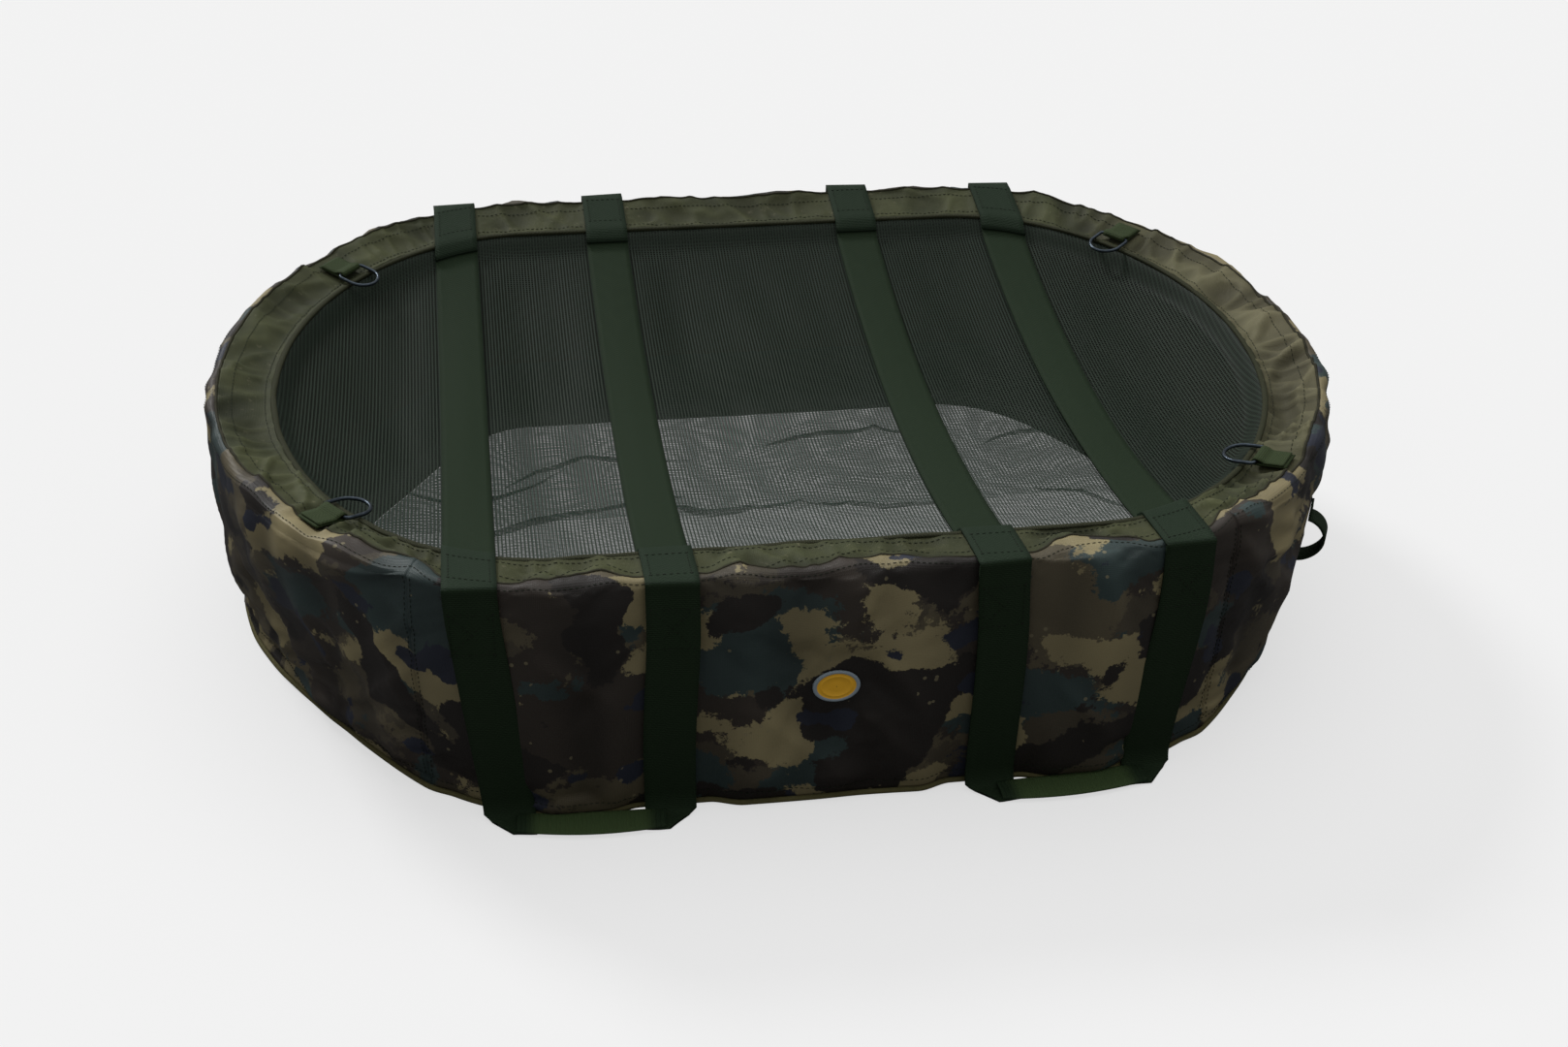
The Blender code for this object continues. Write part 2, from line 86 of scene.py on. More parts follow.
LINE_S, LINE_C, LINE_T, LINE_X, LINE_Y = walk_oval()
ROUND = LINE_S[-1]
TUCK_END = {-1: 0.010, 1: 0.020}
TUCK_CORNER = {-1: 0.036, 1: 0.020}
TUCK_TOP = 0.235


def tuck(s, z):
    """How far the wall's foot is drawn in at a place and height."""
    angle, centre = np.interp(s, LINE_S, LINE_T), np.interp(s, LINE_S, LINE_C)
    pull = [TUCK_END[k] * np.cos(angle) ** 2 + TUCK_CORNER[k] * np.sin(2 * angle) ** 2 for k in (-1, 1)]
    return np.where(centre < 0, pull[0], pull[1]) * np.clip(1 - z / TUCK_TOP, 0.0, 1.0)


def oval(s, d, z):
    """Points at length s along the rim, d inwards from its outer line and z up."""
    s = np.mod(s, ROUND)
    centre, angle = np.interp(s, LINE_S, LINE_C), np.interp(s, LINE_S, LINE_T)
    inwards = d + tuck(s, z)
    x = centre + (RADIUS_X - inwards) * np.cos(angle)
    y = (RADIUS_Y - inwards) * np.sin(angle)
    return np.stack(np.broadcast_arrays(x, y, z), axis=-1)


def outward(s):
    """Unit ways straight out of the wall, at lengths s along the rim."""
    angle = np.interp(np.mod(s, ROUND), LINE_S, LINE_T)
    way = np.stack([RADIUS_Y * np.cos(angle), RADIUS_X * np.sin(angle), np.zeros_like(angle)], axis=-1)
    return way / np.linalg.norm(way, axis=-1, keepdims=True)


def oval_y(x, d):
    """Half the rim's width at x, d inwards from the outer line."""
    past = np.maximum(np.abs(x) - STRAIGHT / 2, 0.0) / (RADIUS_X - d)
    return (RADIUS_Y - d) * np.sqrt(np.maximum(1.0 - past * past, 0.0))


def station(x, side):
    """The length s of the rim point at x on the front (-1) or back (1)."""
    miss = np.where(LINE_Y * side > 0, np.abs(LINE_X - x), np.inf)
    return LINE_S[int(np.argmin(miss))]


def at_angle(angle):
    """The length s of the rim point at an angle round the oval."""
    return LINE_S[int(np.argmin(np.abs(LINE_T - angle)))]


STRAP_S = np.array([station(x, side) for side in SIDES.values() for x in STRAP_X])
CLOTH_GRID = 0.004
RIM_S = np.linspace(0.0, ROUND, 2 * int(ROUND / CLOTH_GRID / 2) + 1)
print(f"oval: {ROUND:.3f} m round, straps at", np.round(STRAP_S, 3))


# %% [markdown]
# ## Unevenness
# Cloth that is filled and sewn is never even. `ripple` is noise that closes on itself round the
# oval, `calm` keeps it away from the straps, which hold the rim down, and `slack` says where
# the cover is loosest: at the right end and the front right corner, where it is crumpled.

# %% Unevenness
NOISE_APART, LANE, LANE_FADE, TAB_LANE, TAB_FADE = 7.7, 0.029, 0.032, 0.017, 0.015


def ripple(s, v, along, across, seed):
    """Noise over the oval band: features of size along by across, in metres."""
    s, v = np.broadcast_arrays(s, v)
    turn, far = 2 * pi * s / ROUND, ROUND / (2 * pi * along)
    points = np.stack([far * np.cos(turn), far * np.sin(turn), v / across + NOISE_APART * seed], axis=-1)
    values = [noise.noise(Vector(p)) for p in points.reshape(-1, 3)]
    return np.reshape(values, s.shape)


def smooth(x):
    """An even rise from 0 to 1, as x goes from 0 to 1."""
    x = np.clip(x, 0.0, 1.0)
    return x * x * (3 - 2 * x)


def gap_round(s, places):
    """Distance round the rim to the nearest of some places."""
    gap = np.abs(np.mod(np.asarray(s)[..., None], ROUND) - np.atleast_1d(places))
    return np.minimum(gap, ROUND - gap).min(axis=-1)


def away_from(s, places, clear, fade):
    """0 within clear of some places round the rim, 1 from fade further on."""
    return smooth((gap_round(s, places) - clear) / fade)


def calm(s):
    """0 on the straps' lanes, 1 well away from them."""
    return away_from(s, STRAP_S, LANE, LANE_FADE)


RING_ANGLE = radians(44)
TAB_S = np.array([at_angle(a) for a in (-RING_ANGLE, RING_ANGLE, pi - RING_ANGLE, pi + RING_ANGLE)])


def off_tabs(s):
    """0 on the ring tabs, 1 well away from them."""
    return away_from(s, TAB_S, TAB_LANE, TAB_FADE)


CORNER_X, SLACK_LEAST = 0.47, 0.28
SLACK_HILLS = (  # place, reach and height of the loosest stretches
    (station(LENGTH / 2, 1), 0.30, 0.70),
    (station(CORNER_X, -1), 0.18, 0.9),
    (station(-CORNER_X, -1), 0.20, 0.5),
    (station(0.0, -1), 0.30, 0.3),
)


def slack(s):
    """0 where the cover is taut and 1 where it is loosest."""
    loose = sum(tall * np.exp(-((gap_round(s, place) / reach) ** 2)) for place, reach, tall in SLACK_HILLS)
    return np.clip(SLACK_LEAST + loose, 0.0, 1.0)


def sharpen(field, power, sharp=3.2):
    """Folds out of noise: sharp ridges of height 1 along its zero lines."""
    return np.clip(1 - sharp * np.abs(field), 0.0, 1.0) ** power


print("slack of the cover:", np.round(slack(STRAP_S), 2), "at the straps")


# %% [markdown]
# ## Mesh helpers
# Every piece is a grid of points in rows, with a UV map in metres, so that weaves and nets
# keep their real size.

# %% Mesh helpers
def new_object(name, points, faces, material, uv=None):
    """A smooth mesh in the scene, with a UV map in metres where one is given."""
    mesh = bpy.data.meshes.new(name)
    mesh.from_pydata([tuple(p) for p in points], [], faces)
    if uv is not None:
        layer = mesh.uv_layers.new(name="metres")
        layer.data.foreach_set("uv", np.asarray(uv, dtype=np.float32).ravel())
    mesh.polygons.foreach_set("use_smooth", [True] * len(mesh.polygons))
    if material:
        mesh.materials.append(material)
    piece = bpy.data.objects.new(name, mesh)
    bpy.context.scene.collection.objects.link(piece)
    return piece


def bake(piece):
    """Applies a piece's modifiers for good."""
    graph = bpy.context.evaluated_depsgraph_get()
    graph.update()
    shape = piece.evaluated_get(graph)
    mesh = bpy.data.meshes.new_from_object(shape, preserve_all_data_layers=True, depsgraph=graph)
    piece.modifiers.clear()
    piece.data = mesh


def grid(name, points, material, uv, closed=False, thick=0.0, offset=-1.0, fold=None):
    """A sheet through rows of points; closed joins the last column to the first.
    fold is a value for each point, which the materials read."""
    rows, columns = points.shape[:2]
    kept = columns - 1 if closed else columns
    index = (np.arange(rows)[:, None] * kept + np.arange(columns) % kept).tolist()
    faces, corners = [], []
    for r in range(rows - 1):
        for c in range(columns - 1):
            faces.append((index[r][c], index[r][c + 1], index[r + 1][c + 1], index[r + 1][c]))
            corners += [uv[r, c], uv[r, c + 1], uv[r + 1, c + 1], uv[r + 1, c]]
    piece = new_object(name, points[:, :kept].reshape(-1, 3), faces, material, corners)
    if fold is not None:
        layer = piece.data.attributes.new("fold", "FLOAT", "POINT")
        layer.data.foreach_set("value", fold[:, :kept].astype(np.float32).ravel())
    if thick:
        solid = piece.modifiers.new("thickness", "SOLIDIFY")
        solid.thickness, solid.offset, solid.use_even_offset = thick, offset, False
        bake(piece)
    return piece


def pair_up(first, second):
    """UV pairs from two arrays of metres."""
    return np.stack(np.broadcast_arrays(first, second), axis=-1)


def run_length(points):
    """Length so far along a line of points."""
    return np.concatenate([[0.0], np.cumsum(np.linalg.norm(np.diff(points, axis=0), axis=1))])


def tube(name, centres, radius, material, sides=10):
    """A round cord along a closed line of points, with a UV map of length and girth."""
    ahead = np.roll(centres, -1, axis=0) - np.roll(centres, 1, axis=0)
    ahead /= np.linalg.norm(ahead, axis=1, keepdims=True)
    side = np.cross(ahead, (0, 0, 1.0))
    side /= np.linalg.norm(side, axis=1, keepdims=True)
    up = np.cross(side, ahead)
    turn = np.linspace(0, 2 * pi, sides + 1)
    count = len(centres)
    points = np.stack([centres + radius * (side * cos(a) + up * sin(a)) for a in turn[:-1]])
    length = run_length(np.vstack([centres, centres[:1]]))
    faces, corners = [], []
    for k in range(sides):
        m = (k + 1) % sides
        for c in range(count):
            n = (c + 1) % count
            faces.append((k * count + c, m * count + c, m * count + n, k * count + n))
            near, far = turn[k] * radius, turn[k + 1] * radius
            corners += [(length[c], near), (length[c], far), (length[c + 1], far), (length[c + 1], near)]
    return new_object(name, points.reshape(-1, 3), faces, material, corners)


def join(name, pieces):
    """One piece out of several."""
    with bpy.context.temp_override(active_object=pieces[0], object=pieces[0], selected_objects=pieces,
                                   selected_editable_objects=pieces):
        bpy.ops.object.join()
    pieces[0].name = name
    return pieces[0]


# %% [markdown]
# ## Materials
# All colours are written as hex sRGB values and all patterns are procedural, with scales
# worked out from real sizes in millimetres.

# %% Node helpers
def colour(code):
    """Linear RGBA of a hex sRGB value."""
    parts = [int(code[i:i + 2], 16) / 255 for i in (1, 3, 5)]
    return (*[p / 12.92 if p <= 0.04045 else ((p + 0.055) / 1.055) ** 2.4 for p in parts], 1.0)


def add(tree, kind, inputs=None, **settings):
    """Adds a node. An input is a plain value or another node's output socket."""
    node = tree.nodes.new(kind)
    for key, value in settings.items():
        setattr(node, key, value)
    for key, value in (inputs or {}).items():
        if isinstance(value, bpy.types.NodeSocket):
            tree.links.new(value, node.inputs[key])
        else:
            node.inputs[key].default_value = value
    return node


def calc(tree, operation, first, second=0.0):
    """The output of a Math node."""
    return add(tree, "ShaderNodeMath", {0: first, 1: second}, operation=operation).outputs[0]


def blend_colours(tree, share, first, second):
    """From the first colour to the second, by a share from 0 to 1."""
    return add(tree, "ShaderNodeMix", {0: share, 6: first, 7: second}, data_type="RGBA").outputs[2]


def plain(name, code, roughness=0.8, metallic=0.0, shine=0.12):
    """A material with one colour; returns it with its tree and shader for more nodes."""
    material = bpy.data.materials.new(name)
    material.use_nodes = True
    tree = material.node_tree
    shader = tree.nodes["Principled BSDF"]
    shader.inputs["Base Color"].default_value = colour(code)
    shader.inputs["Roughness"].default_value = roughness
    shader.inputs["Metallic"].default_value = metallic
    shader.inputs["Specular IOR Level"].default_value = shine
    return material, tree, shader


def noise_of(tree, vector, size, detail=2.0, rough=0.5):
    """Noise with features of about size metres."""
    return add(tree, "ShaderNodeTexNoise", {"Vector": vector, "Scale": 1.0 / size, "Detail": detail,
                                            "Roughness": rough}).outputs["Fac"]


def step(tree, value, edge, soft=0.01):
    """0 below the edge and 1 above it."""
    return add(tree, "ShaderNodeMapRange", {"Value": value, "From Min": edge - soft,
                                            "From Max": edge + soft}).outputs["Result"]


def set_bump(tree, shader, height, depth):
    """Relief of a depth in metres."""
    bump = add(tree, "ShaderNodeBump", {"Height": height, "Distance": depth, "Strength": 1.0})
    tree.links.new(bump.outputs[0], shader.inputs["Normal"])


def triangle(tree, value, pitch):
    """A wave that rises from 0 to 1 and falls again once every pitch."""
    return calc(tree, "DIVIDE", calc(tree, "PINGPONG", value, pitch / 2), pitch / 2)


def uv_parts(tree):
    """The two lengths of the UV map, in metres."""
    uv = add(tree, "ShaderNodeUVMap", uv_map="metres").outputs[0]
    return add(tree, "ShaderNodeSeparateXYZ", {0: uv}).outputs[:2]


def object_place(tree):
    """The place on the object, in metres."""
    return add(tree, "ShaderNodeTexCoord").outputs["Object"]


def fold_value(tree):
    """The value that a piece keeps for each point."""
    return add(tree, "ShaderNodeAttribute", attribute_name="fold").outputs["Fac"]


# %% [markdown]
# The cover is coated polyester, printed with a camouflage of its own design: broad soft
# blotches of browns, khaki and slate with torn edges, and pale flecks in clusters. The coating
# gives the cloth a faint sheen. The top strip is the same cloth in plain olive, paler towards the
# right end. Both carry painted shade in the valleys of their folds and a painted highlight on their tops.

# %% Cloth materials
# The valley and ridge tones paint shade into the folds' valleys and a highlight on their tops.
CLOTH_PITCH, CLOTH_RELIEF, VALLEY_SHADE, RIDGE_HIGHLIGHT = 0.0016, 0.00020, 0.60, 1.34
CAMO_GROUND, CAMO_FLECK = "#443E32", "#7D755B"
CAMO_LAYERS = (  # size of the blotches in metres, shift of the noise, its edge and the colour
    (0.150, 0.0, 0.490, "#534C3B"),
    (0.125, 3.1, 0.505, "#332D27"),
    (0.110, 6.4, 0.550, "#2F3C3B"),
    (0.105, 9.7, 0.550, "#847A5A"),
    (0.075, 12.9, 0.580, "#231F1C"),
    (0.060, 15.3, 0.645, "#252935"),
)
CAMO_TURN, CAMO_STRETCH, CAMO_SOFT = (0.3, 0.5, 0.4), (0.85, 1.0, 1.1), 0.005
TORN_SIZE, TORN_REACH = 0.011, 0.17
FLECK_GRID, FLECK_SIZE, FLECK_CLUSTER, FLECK_EDGE, FLECK_SHARE = 0.013, 0.16, 0.055, 0.585, 0.6
OLIVE_TONES, OLIVE_RIGHT_END, OLIVE_DUST = ("#42452D", "#363A27"), "#635F49", "#6B6852"
TONE_SIZE, TONE_EDGE, TONE_SOFT, RIGHT_END_X, RIGHT_END_SOFT = 0.07, 0.52, 0.12, 0.50, 0.08
DUST_SIZE, DUST_EDGE, DUST_SOFT, DUST_SHARE = 0.010, 0.67, 0.05, 0.5


def weave(tree, shader):
    """A fine plain weave as relief; real yarn is about half as wide, too fine to show."""
    along, across = [triangle(tree, part, CLOTH_PITCH) for part in uv_parts(tree)]
    set_bump(tree, shader, calc(tree, "MULTIPLY", along, across), CLOTH_RELIEF)


def painted_fold_shade(tree, look):
    """The same colour, with painted shade in the valleys of the folds and a painted highlight on their tops.
    """
    tone = add(tree, "ShaderNodeMapRange", {"Value": fold_value(tree), "From Min": -1.0, "From Max": 1.0,
                                            "To Min": VALLEY_SHADE, "To Max": RIDGE_HIGHLIGHT}).outputs["Result"]
    return add(tree, "ShaderNodeHueSaturation", {"Color": look, "Value": tone}).outputs[0]


def camouflage():
    """The printed cloth of the cover: blotches laid over one another, then flecks in clusters."""
    material, tree, shader = plain("camouflage_cloth", CAMO_GROUND, 0.55, shine=0.3)
    place = object_place(tree)
    turned = add(tree, "ShaderNodeMapping", {"Vector": place, "Rotation": CAMO_TURN,
                                             "Scale": CAMO_STRETCH}).outputs[0]
    torn = calc(tree, "SUBTRACT", noise_of(tree, place, TORN_SIZE, 4.0, 0.72), 0.5)
    torn = calc(tree, "MULTIPLY", torn, TORN_REACH)
    look = colour(CAMO_GROUND)
    for size, shift, edge, code in CAMO_LAYERS:
        moved = add(tree, "ShaderNodeVectorMath", {0: turned, 1: (shift,) * 3}, operation="ADD").outputs[0]
        field = calc(tree, "ADD", noise_of(tree, moved, size, 1.0, 0.5), torn)
        look = blend_colours(tree, step(tree, field, edge, CAMO_SOFT), look, colour(code))
    cells = add(tree, "ShaderNodeTexVoronoi", {"Vector": place, "Scale": 1.0 / FLECK_GRID, "Randomness": 1.0})
    fleck = calc(tree, "LESS_THAN", cells.outputs["Distance"], FLECK_SIZE)
    cluster = calc(tree, "GREATER_THAN", noise_of(tree, place, FLECK_CLUSTER, 1.0), FLECK_EDGE)
    flecks = calc(tree, "MULTIPLY", calc(tree, "MULTIPLY", fleck, cluster), FLECK_SHARE)
    look = blend_colours(tree, flecks, look, colour(CAMO_FLECK))
    tree.links.new(painted_fold_shade(tree, look), shader.inputs["Base Color"])
    weave(tree, shader)
    return material


def olive_cloth():
    """The plain cloth of the top strip: two soft tones, paler at the right end, with some dust."""
    material, tree, shader = plain("olive_cloth", OLIVE_TONES[0], 0.65, shine=0.15)
    place = object_place(tree)
    soft = step(tree, noise_of(tree, place, TONE_SIZE, 3.0, 0.6), TONE_EDGE, TONE_SOFT)
    look = blend_colours(tree, soft, colour(OLIVE_TONES[0]), colour(OLIVE_TONES[1]))
    far_right = add(tree, "ShaderNodeSeparateXYZ", {0: place}).outputs[0]
    # The strip turns paler towards its right end.
    look = blend_colours(tree, step(tree, far_right, RIGHT_END_X, RIGHT_END_SOFT), look, colour(OLIVE_RIGHT_END))
    dust = step(tree, noise_of(tree, place, DUST_SIZE, 3.0, 0.7), DUST_EDGE, DUST_SOFT)
    look = blend_colours(tree, calc(tree, "MULTIPLY", dust, DUST_SHARE), look, colour(OLIVE_DUST))
    tree.links.new(painted_fold_shade(tree, look), shader.inputs["Base Color"])
    weave(tree, shader)
    return material


# %% [markdown]
# Mesh is knitted polyester: a square net of fine strands with holes of about 4 mm. The holes
# are cut with Alpha, so what lies below shows through, and they close where a hem lies double.
# The floor's net is looser in front of a cross seam and closer at the left end. Webbing is woven
# polypropylene with fine ribs and a faint herringbone; the grips carry painted light on their middles.

# %% Net and webbing
FLOOR_SEAM_Y, SEAM_SOFT, CLOSE_X, CLOSE_MORE = 0.088, 0.002, (-0.42, -0.10), 0.14
RIB_PITCH, TWILL_PITCH, HERRINGBONE, WEBBING_RELIEF = 0.0021, 0.0042, 0.0125, 0.0005


def net(name, bright, dark, pitch, strand, veil, front_strand=None):
    """A net with strands every pitch metres, as a share of the pitch. veil is how solid its holes
    and strands are. front_strand is the strands' share in front of the floor's seam."""
    material, tree, shader = plain(name, bright, 0.6)
    along, across = uv_parts(tree)
    if front_strand:
        x, y = add(tree, "ShaderNodeSeparateXYZ", {0: object_place(tree)}).outputs[:2]
        behind = step(tree, y, FLOOR_SEAM_Y + SEAM_SOFT, SEAM_SOFT)
        strand = add(tree, "ShaderNodeMapRange", {"Value": behind, "To Min": front_strand,
                                                  "To Max": strand}).outputs["Result"]
        closer = add(tree, "ShaderNodeMapRange", {"Value": x, "From Min": CLOSE_X[0], "From Max": CLOSE_X[1],
                                                  "To Min": CLOSE_MORE, "To Max": 0.0}).outputs["Result"]
        strand = calc(tree, "ADD", strand, closer)
    first = calc(tree, "LESS_THAN", triangle(tree, along, pitch), strand)
    second = calc(tree, "LESS_THAN", triangle(tree, across, pitch), strand)
    tree.links.new(blend_colours(tree, first, colour(dark), colour(bright)), shader.inputs["Base Color"])
    solid = add(tree, "ShaderNodeMapRange", {"Value": calc(tree, "MAXIMUM", first, second), "To Min": veil[0],
                                             "To Max": veil[1]}).outputs["Result"]
    if front_strand:
        solid = calc(tree, "ADD", solid, closer)
    tree.links.new(calc(tree, "MAXIMUM", solid, fold_value(tree)), shader.inputs["Alpha"])
    return material


def webbing(name, code, dark, painted_light=None):
    """Woven tape: fine ribs across it and a faint herringbone. A last colour, where given, is painted light,
    blended in by each point's fold value.
    """
    material, tree, shader = plain(name, code, 0.75)
    along, across = uv_parts(tree)
    rib = triangle(tree, along, RIB_PITCH)
    bent = calc(tree, "MULTIPLY", triangle(tree, across, HERRINGBONE), HERRINGBONE / 2)
    twill = triangle(tree, calc(tree, "ADD", along, bent), TWILL_PITCH)
    height = calc(tree, "ADD", calc(tree, "MULTIPLY", rib, 0.6), calc(tree, "MULTIPLY", twill, 0.4))
    look = blend_colours(tree, height, colour(dark), colour(code))
    if painted_light:
        look = blend_colours(tree, fold_value(tree), look, colour(painted_light))
    tree.links.new(look, shader.inputs["Base Color"])
    set_bump(tree, shader, height, WEBBING_RELIEF)
    return material


# %% [markdown]
# The other finishes are plain, with one tone that drifts a little into another. Closed-cell foam
# is matt and finely pitted. Lining, base and piping are coated polyester, dull and slightly
# uneven. The rings are blackened steel wire, which has a dark satin gleam, and the thread is
# bonded nylon.

# %% Plain finishes
MOTTLE_RELIEF = 0.1


def mottled(name, code, other, roughness, size, metallic=0.0):
    """A plain finish with a slight change of tone and relief, of size metres."""
    material, tree, shader = plain(name, code, roughness, metallic)
    spots = noise_of(tree, object_place(tree), size, 3.0, 0.6)
    tree.links.new(blend_colours(tree, spots, colour(code), colour(other)), shader.inputs["Base Color"])
    set_bump(tree, shader, spots, size * MOTTLE_RELIEF)
    return material


CAMO, OLIVE = camouflage(), olive_cloth()
SLING_NET = net("sling_net", "#273128", "#1D251D", 0.0036, 0.42, (0.12, 0.95))
# The floor net's teal is partly its own dark green and partly painted light: the green tint of bounce light
# on the ground seen through it.
FLOOR_NET = net("floor_net", "#3B6C5C", "#2E5649", 0.0045, 0.42, (0.45, 0.80), 0.16)
FOOT_NET = net("foot_net", "#2E362F", "#242B25", 0.0045, 0.55, (0.96, 1.0))
# 3F5030 is painted light, laid on the bowed-out middles of the grips.
TAPE = webbing("strap_webbing", "#233220", "#1A2618", "#3F5030")
RIM_TAPE = webbing("rim_webbing", "#263526", "#1B261B")
TAB_TAPE = webbing("tab_webbing", "#3B472C", "#2C3621")
BINDING = webbing("binding_tape", "#393B2A", "#2C2E20")
LINING = mottled("dark_lining", "#3B352A", "#2E2A22", 0.9, 0.020)
PIPING = mottled("piping_cloth", "#39382A", "#2B2A20", 0.75, 0.006)
BASE_PIPING = mottled("base_piping_cloth", "#66613F", "#504D33", 0.75, 0.006)
BASE = mottled("coated_base", "#2A2C2A", "#202220", 0.6, 0.015)
FOAM = mottled("foam", "#8A8A84", "#77776F", 0.95, 0.004)
METAL = mottled("blackened_steel", "#4A535B", "#343B42", 0.34, 0.008, 0.9)
THREAD = mottled("thread", "#262D22", "#1B2018", 0.7, 0.002)
print("materials:", len(bpy.data.materials))


# %% [markdown]
# ## Riding
# Each finished piece names the body that it moves with and the part's nodes that it stands for.

# %% Riding
def settle(piece, nodes=(), body="cradle"):
    """Hands a finished piece to the frame."""
    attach(piece, body)
    if nodes:
        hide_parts(*nodes)
    return piece


# %% [markdown]
# ## Padded wall
# Four foam blocks stand inside the wall and hold it up. They follow the wall's lean and have
# rounded edges, so that the cover lies softly over them.

# %% Foam
SEAM_ANGLE = radians(66)
RIGHT_FROM, RIGHT_TO = at_angle(-SEAM_ANGLE), at_angle(SEAM_ANGLE)
LEFT_FROM, LEFT_TO = at_angle(pi - SEAM_ANGLE), at_angle(pi + SEAM_ANGLE)
PANEL_SEAMS = np.array([RIGHT_FROM, RIGHT_TO, LEFT_FROM, LEFT_TO])
PANELS = {"right": (RIGHT_FROM, RIGHT_TO), "back": (RIGHT_TO, LEFT_FROM),
          "left": (LEFT_FROM, LEFT_TO), "front": (LEFT_TO, RIGHT_FROM + ROUND)}
FOAM_D, FOAM_Z, FOAM_ROUND, FOAM_END, FOAM_STEP = (0.022, 0.057), (0.014, 0.240), 0.012, 0.004, 0.02


def foam_block(name, start, end):
    """A closed block of foam that follows the wall, with rounded edges."""
    ring = []
    for d, z, turn in ((FOAM_D[1], FOAM_Z[1], 0), (FOAM_D[0], FOAM_Z[1], 1),
                       (FOAM_D[0], FOAM_Z[0], 2), (FOAM_D[1], FOAM_Z[0], 3)):
        for k in range(5):
            a = pi / 2 * (turn + k / 4)
            ring.append((d + FOAM_ROUND * (cos(a) - (1 if turn in (0, 3) else -1)),
                         z + FOAM_ROUND * (sin(a) - (1 if turn in (0, 1) else -1))))
    stations = np.linspace(start + FOAM_END, end - FOAM_END, int((end - start) / FOAM_STEP) + 2)
    points = np.stack([oval(stations, d, z) for d, z in ring], axis=1).reshape(-1, 3)
    count, faces = len(ring), []
    for c in range(len(stations) - 1):
        for k in range(count):
            m = (k + 1) % count
            faces.append((c * count + k, c * count + m, (c + 1) * count + m, (c + 1) * count + k))
    last = (len(stations) - 1) * count
    faces += [tuple(range(count))[::-1], tuple(range(last, last + count))]
    return new_object(name, points, faces, FOAM)


for side, (start, end) in PANELS.items():
    settle(foam_block(f"foam_{side}", start, end), [f"wall_padding_{side}"])

# %% [markdown]
# ## Cloth skin
# One long skin of cloth runs from the wall's foot, up the wall, round the soft rim edge and
# across the top strip. It could be displaced with noise alone, but real puckers come from spare
# cloth that is held at its seams, so it is simulated: the seams, the webbing lanes, the badge
# and the loop are pinned, the cloth is cut a few per cent too large, most where it is slack,
# and a little air pressure blows it out. The way that each point moves is capped. Along the
# front the soft rim is rolled in first, which takes the seam of the strip up on to the top.

# %% Skin before the simulation
ROLL, ROLL_STEPS, WALL_STEPS, STRIP_STEPS, STRIP_END = 0.008, 8, 64, 18, 0.0640
SEAM_ROLL, ROLL_LENGTH, ROLL_LEAST, ROLL_MEAN, ROLL_UNEVEN = 7.5, 0.11, 0.25, 0.75, 0.9
FRONT_RISE, FRONT_FROM = 1.6, 0.35
EDGE_LOW = HEIGHT - ROLL
SEAM_ROW = WALL_STEPS + ROLL_STEPS
BADGE_X, BADGE_Z, BADGE_WIDE, BADGE_TALL = 0.0, 0.138, 0.046, 0.036
LOOP_LOW, LOOP_HIGH, LOOP_REACH, LOOP_WIDE, LOOP_SEAT = 0.108, 0.158, 0.022, 0.025, 0.0018
BADGE_S, LOOP_S, LOOP_MIDDLE = station(BADGE_X, -1), at_angle(radians(-33)), (LOOP_LOW + LOOP_HIGH) / 2
SEAM_HELD, PANEL_HELD, LANE_HELD, LANE_LOW, BADGE_HELD, LOOP_HELD = 0.18, 0.5, 0.026, 0.20, 0.030, 0.020


def crown(z):
    """How far the filled wall swells out at a height."""
    return CROWN * np.sin(pi * np.clip((z - WALL_LOW) / (EDGE_LOW - WALL_LOW), 0.0, 1.0))


def skin_profile():
    """(d, z) steps up the wall, round the rim's edge and across the strip."""
    wall = [(-crown(z), z) for z in np.linspace(WALL_LOW, EDGE_LOW, WALL_STEPS + 1)]
    turns = np.linspace(0, pi / 2, ROLL_STEPS + 1)[1:]
    edge = [(ROLL * (1 - cos(a)), EDGE_LOW + ROLL * sin(a)) for a in turns]
    shares = np.linspace(0, 1, STRIP_STEPS + 1)[1:]
    strip = [(ROLL + (STRIP_END - ROLL) * q, HEIGHT - RIM_DISH * q) for q in shares]
    return np.array(wall + edge + strip)


PROFILE = skin_profile()
SKIN_UP, LAST_ROW = run_length(PROFILE), len(PROFILE) - 1
ALONG, ROW = np.meshgrid(RIM_S, np.arange(LAST_ROW + 1))
UP, TALL = SKIN_UP[ROW], PROFILE[ROW, 1]
ROUND_ANGLE = np.interp(ALONG, LINE_S, LINE_T)


def rolled_rows():
    """Profile rows after the soft rim is rolled in along the front, which takes the seam with it."""
    front = smooth(-FRONT_RISE * np.sin(ROUND_ANGLE) - FRONT_FROM)
    uneven = ROLL_MEAN + ROLL_UNEVEN * ripple(ALONG, np.zeros_like(ALONG), ROLL_LENGTH, 1.0, 71)
    share = np.where(ROW < SEAM_ROW, ROW / SEAM_ROW, (LAST_ROW - ROW) / (LAST_ROW - SEAM_ROW))
    return ROW + SEAM_ROLL * front * (ROLL_LEAST + (1 - ROLL_LEAST) * calm(ALONG)) * uneven * share


rolled, steps = rolled_rows(), np.arange(LAST_ROW + 1)
ROLLED_D, ROLLED_Z = [np.interp(rolled, steps, PROFILE[:, axis]) for axis in (0, 1)]
TAUT = oval(ALONG, ROLLED_D, ROLLED_Z)
print("skin:", TAUT.shape[0], "rows by", TAUT.shape[1], "columns, with the rim seam",
      f"{1000 * ROLLED_D[SEAM_ROW].min():.0f} to {1000 * ROLLED_D[SEAM_ROW].max():.0f} mm in")


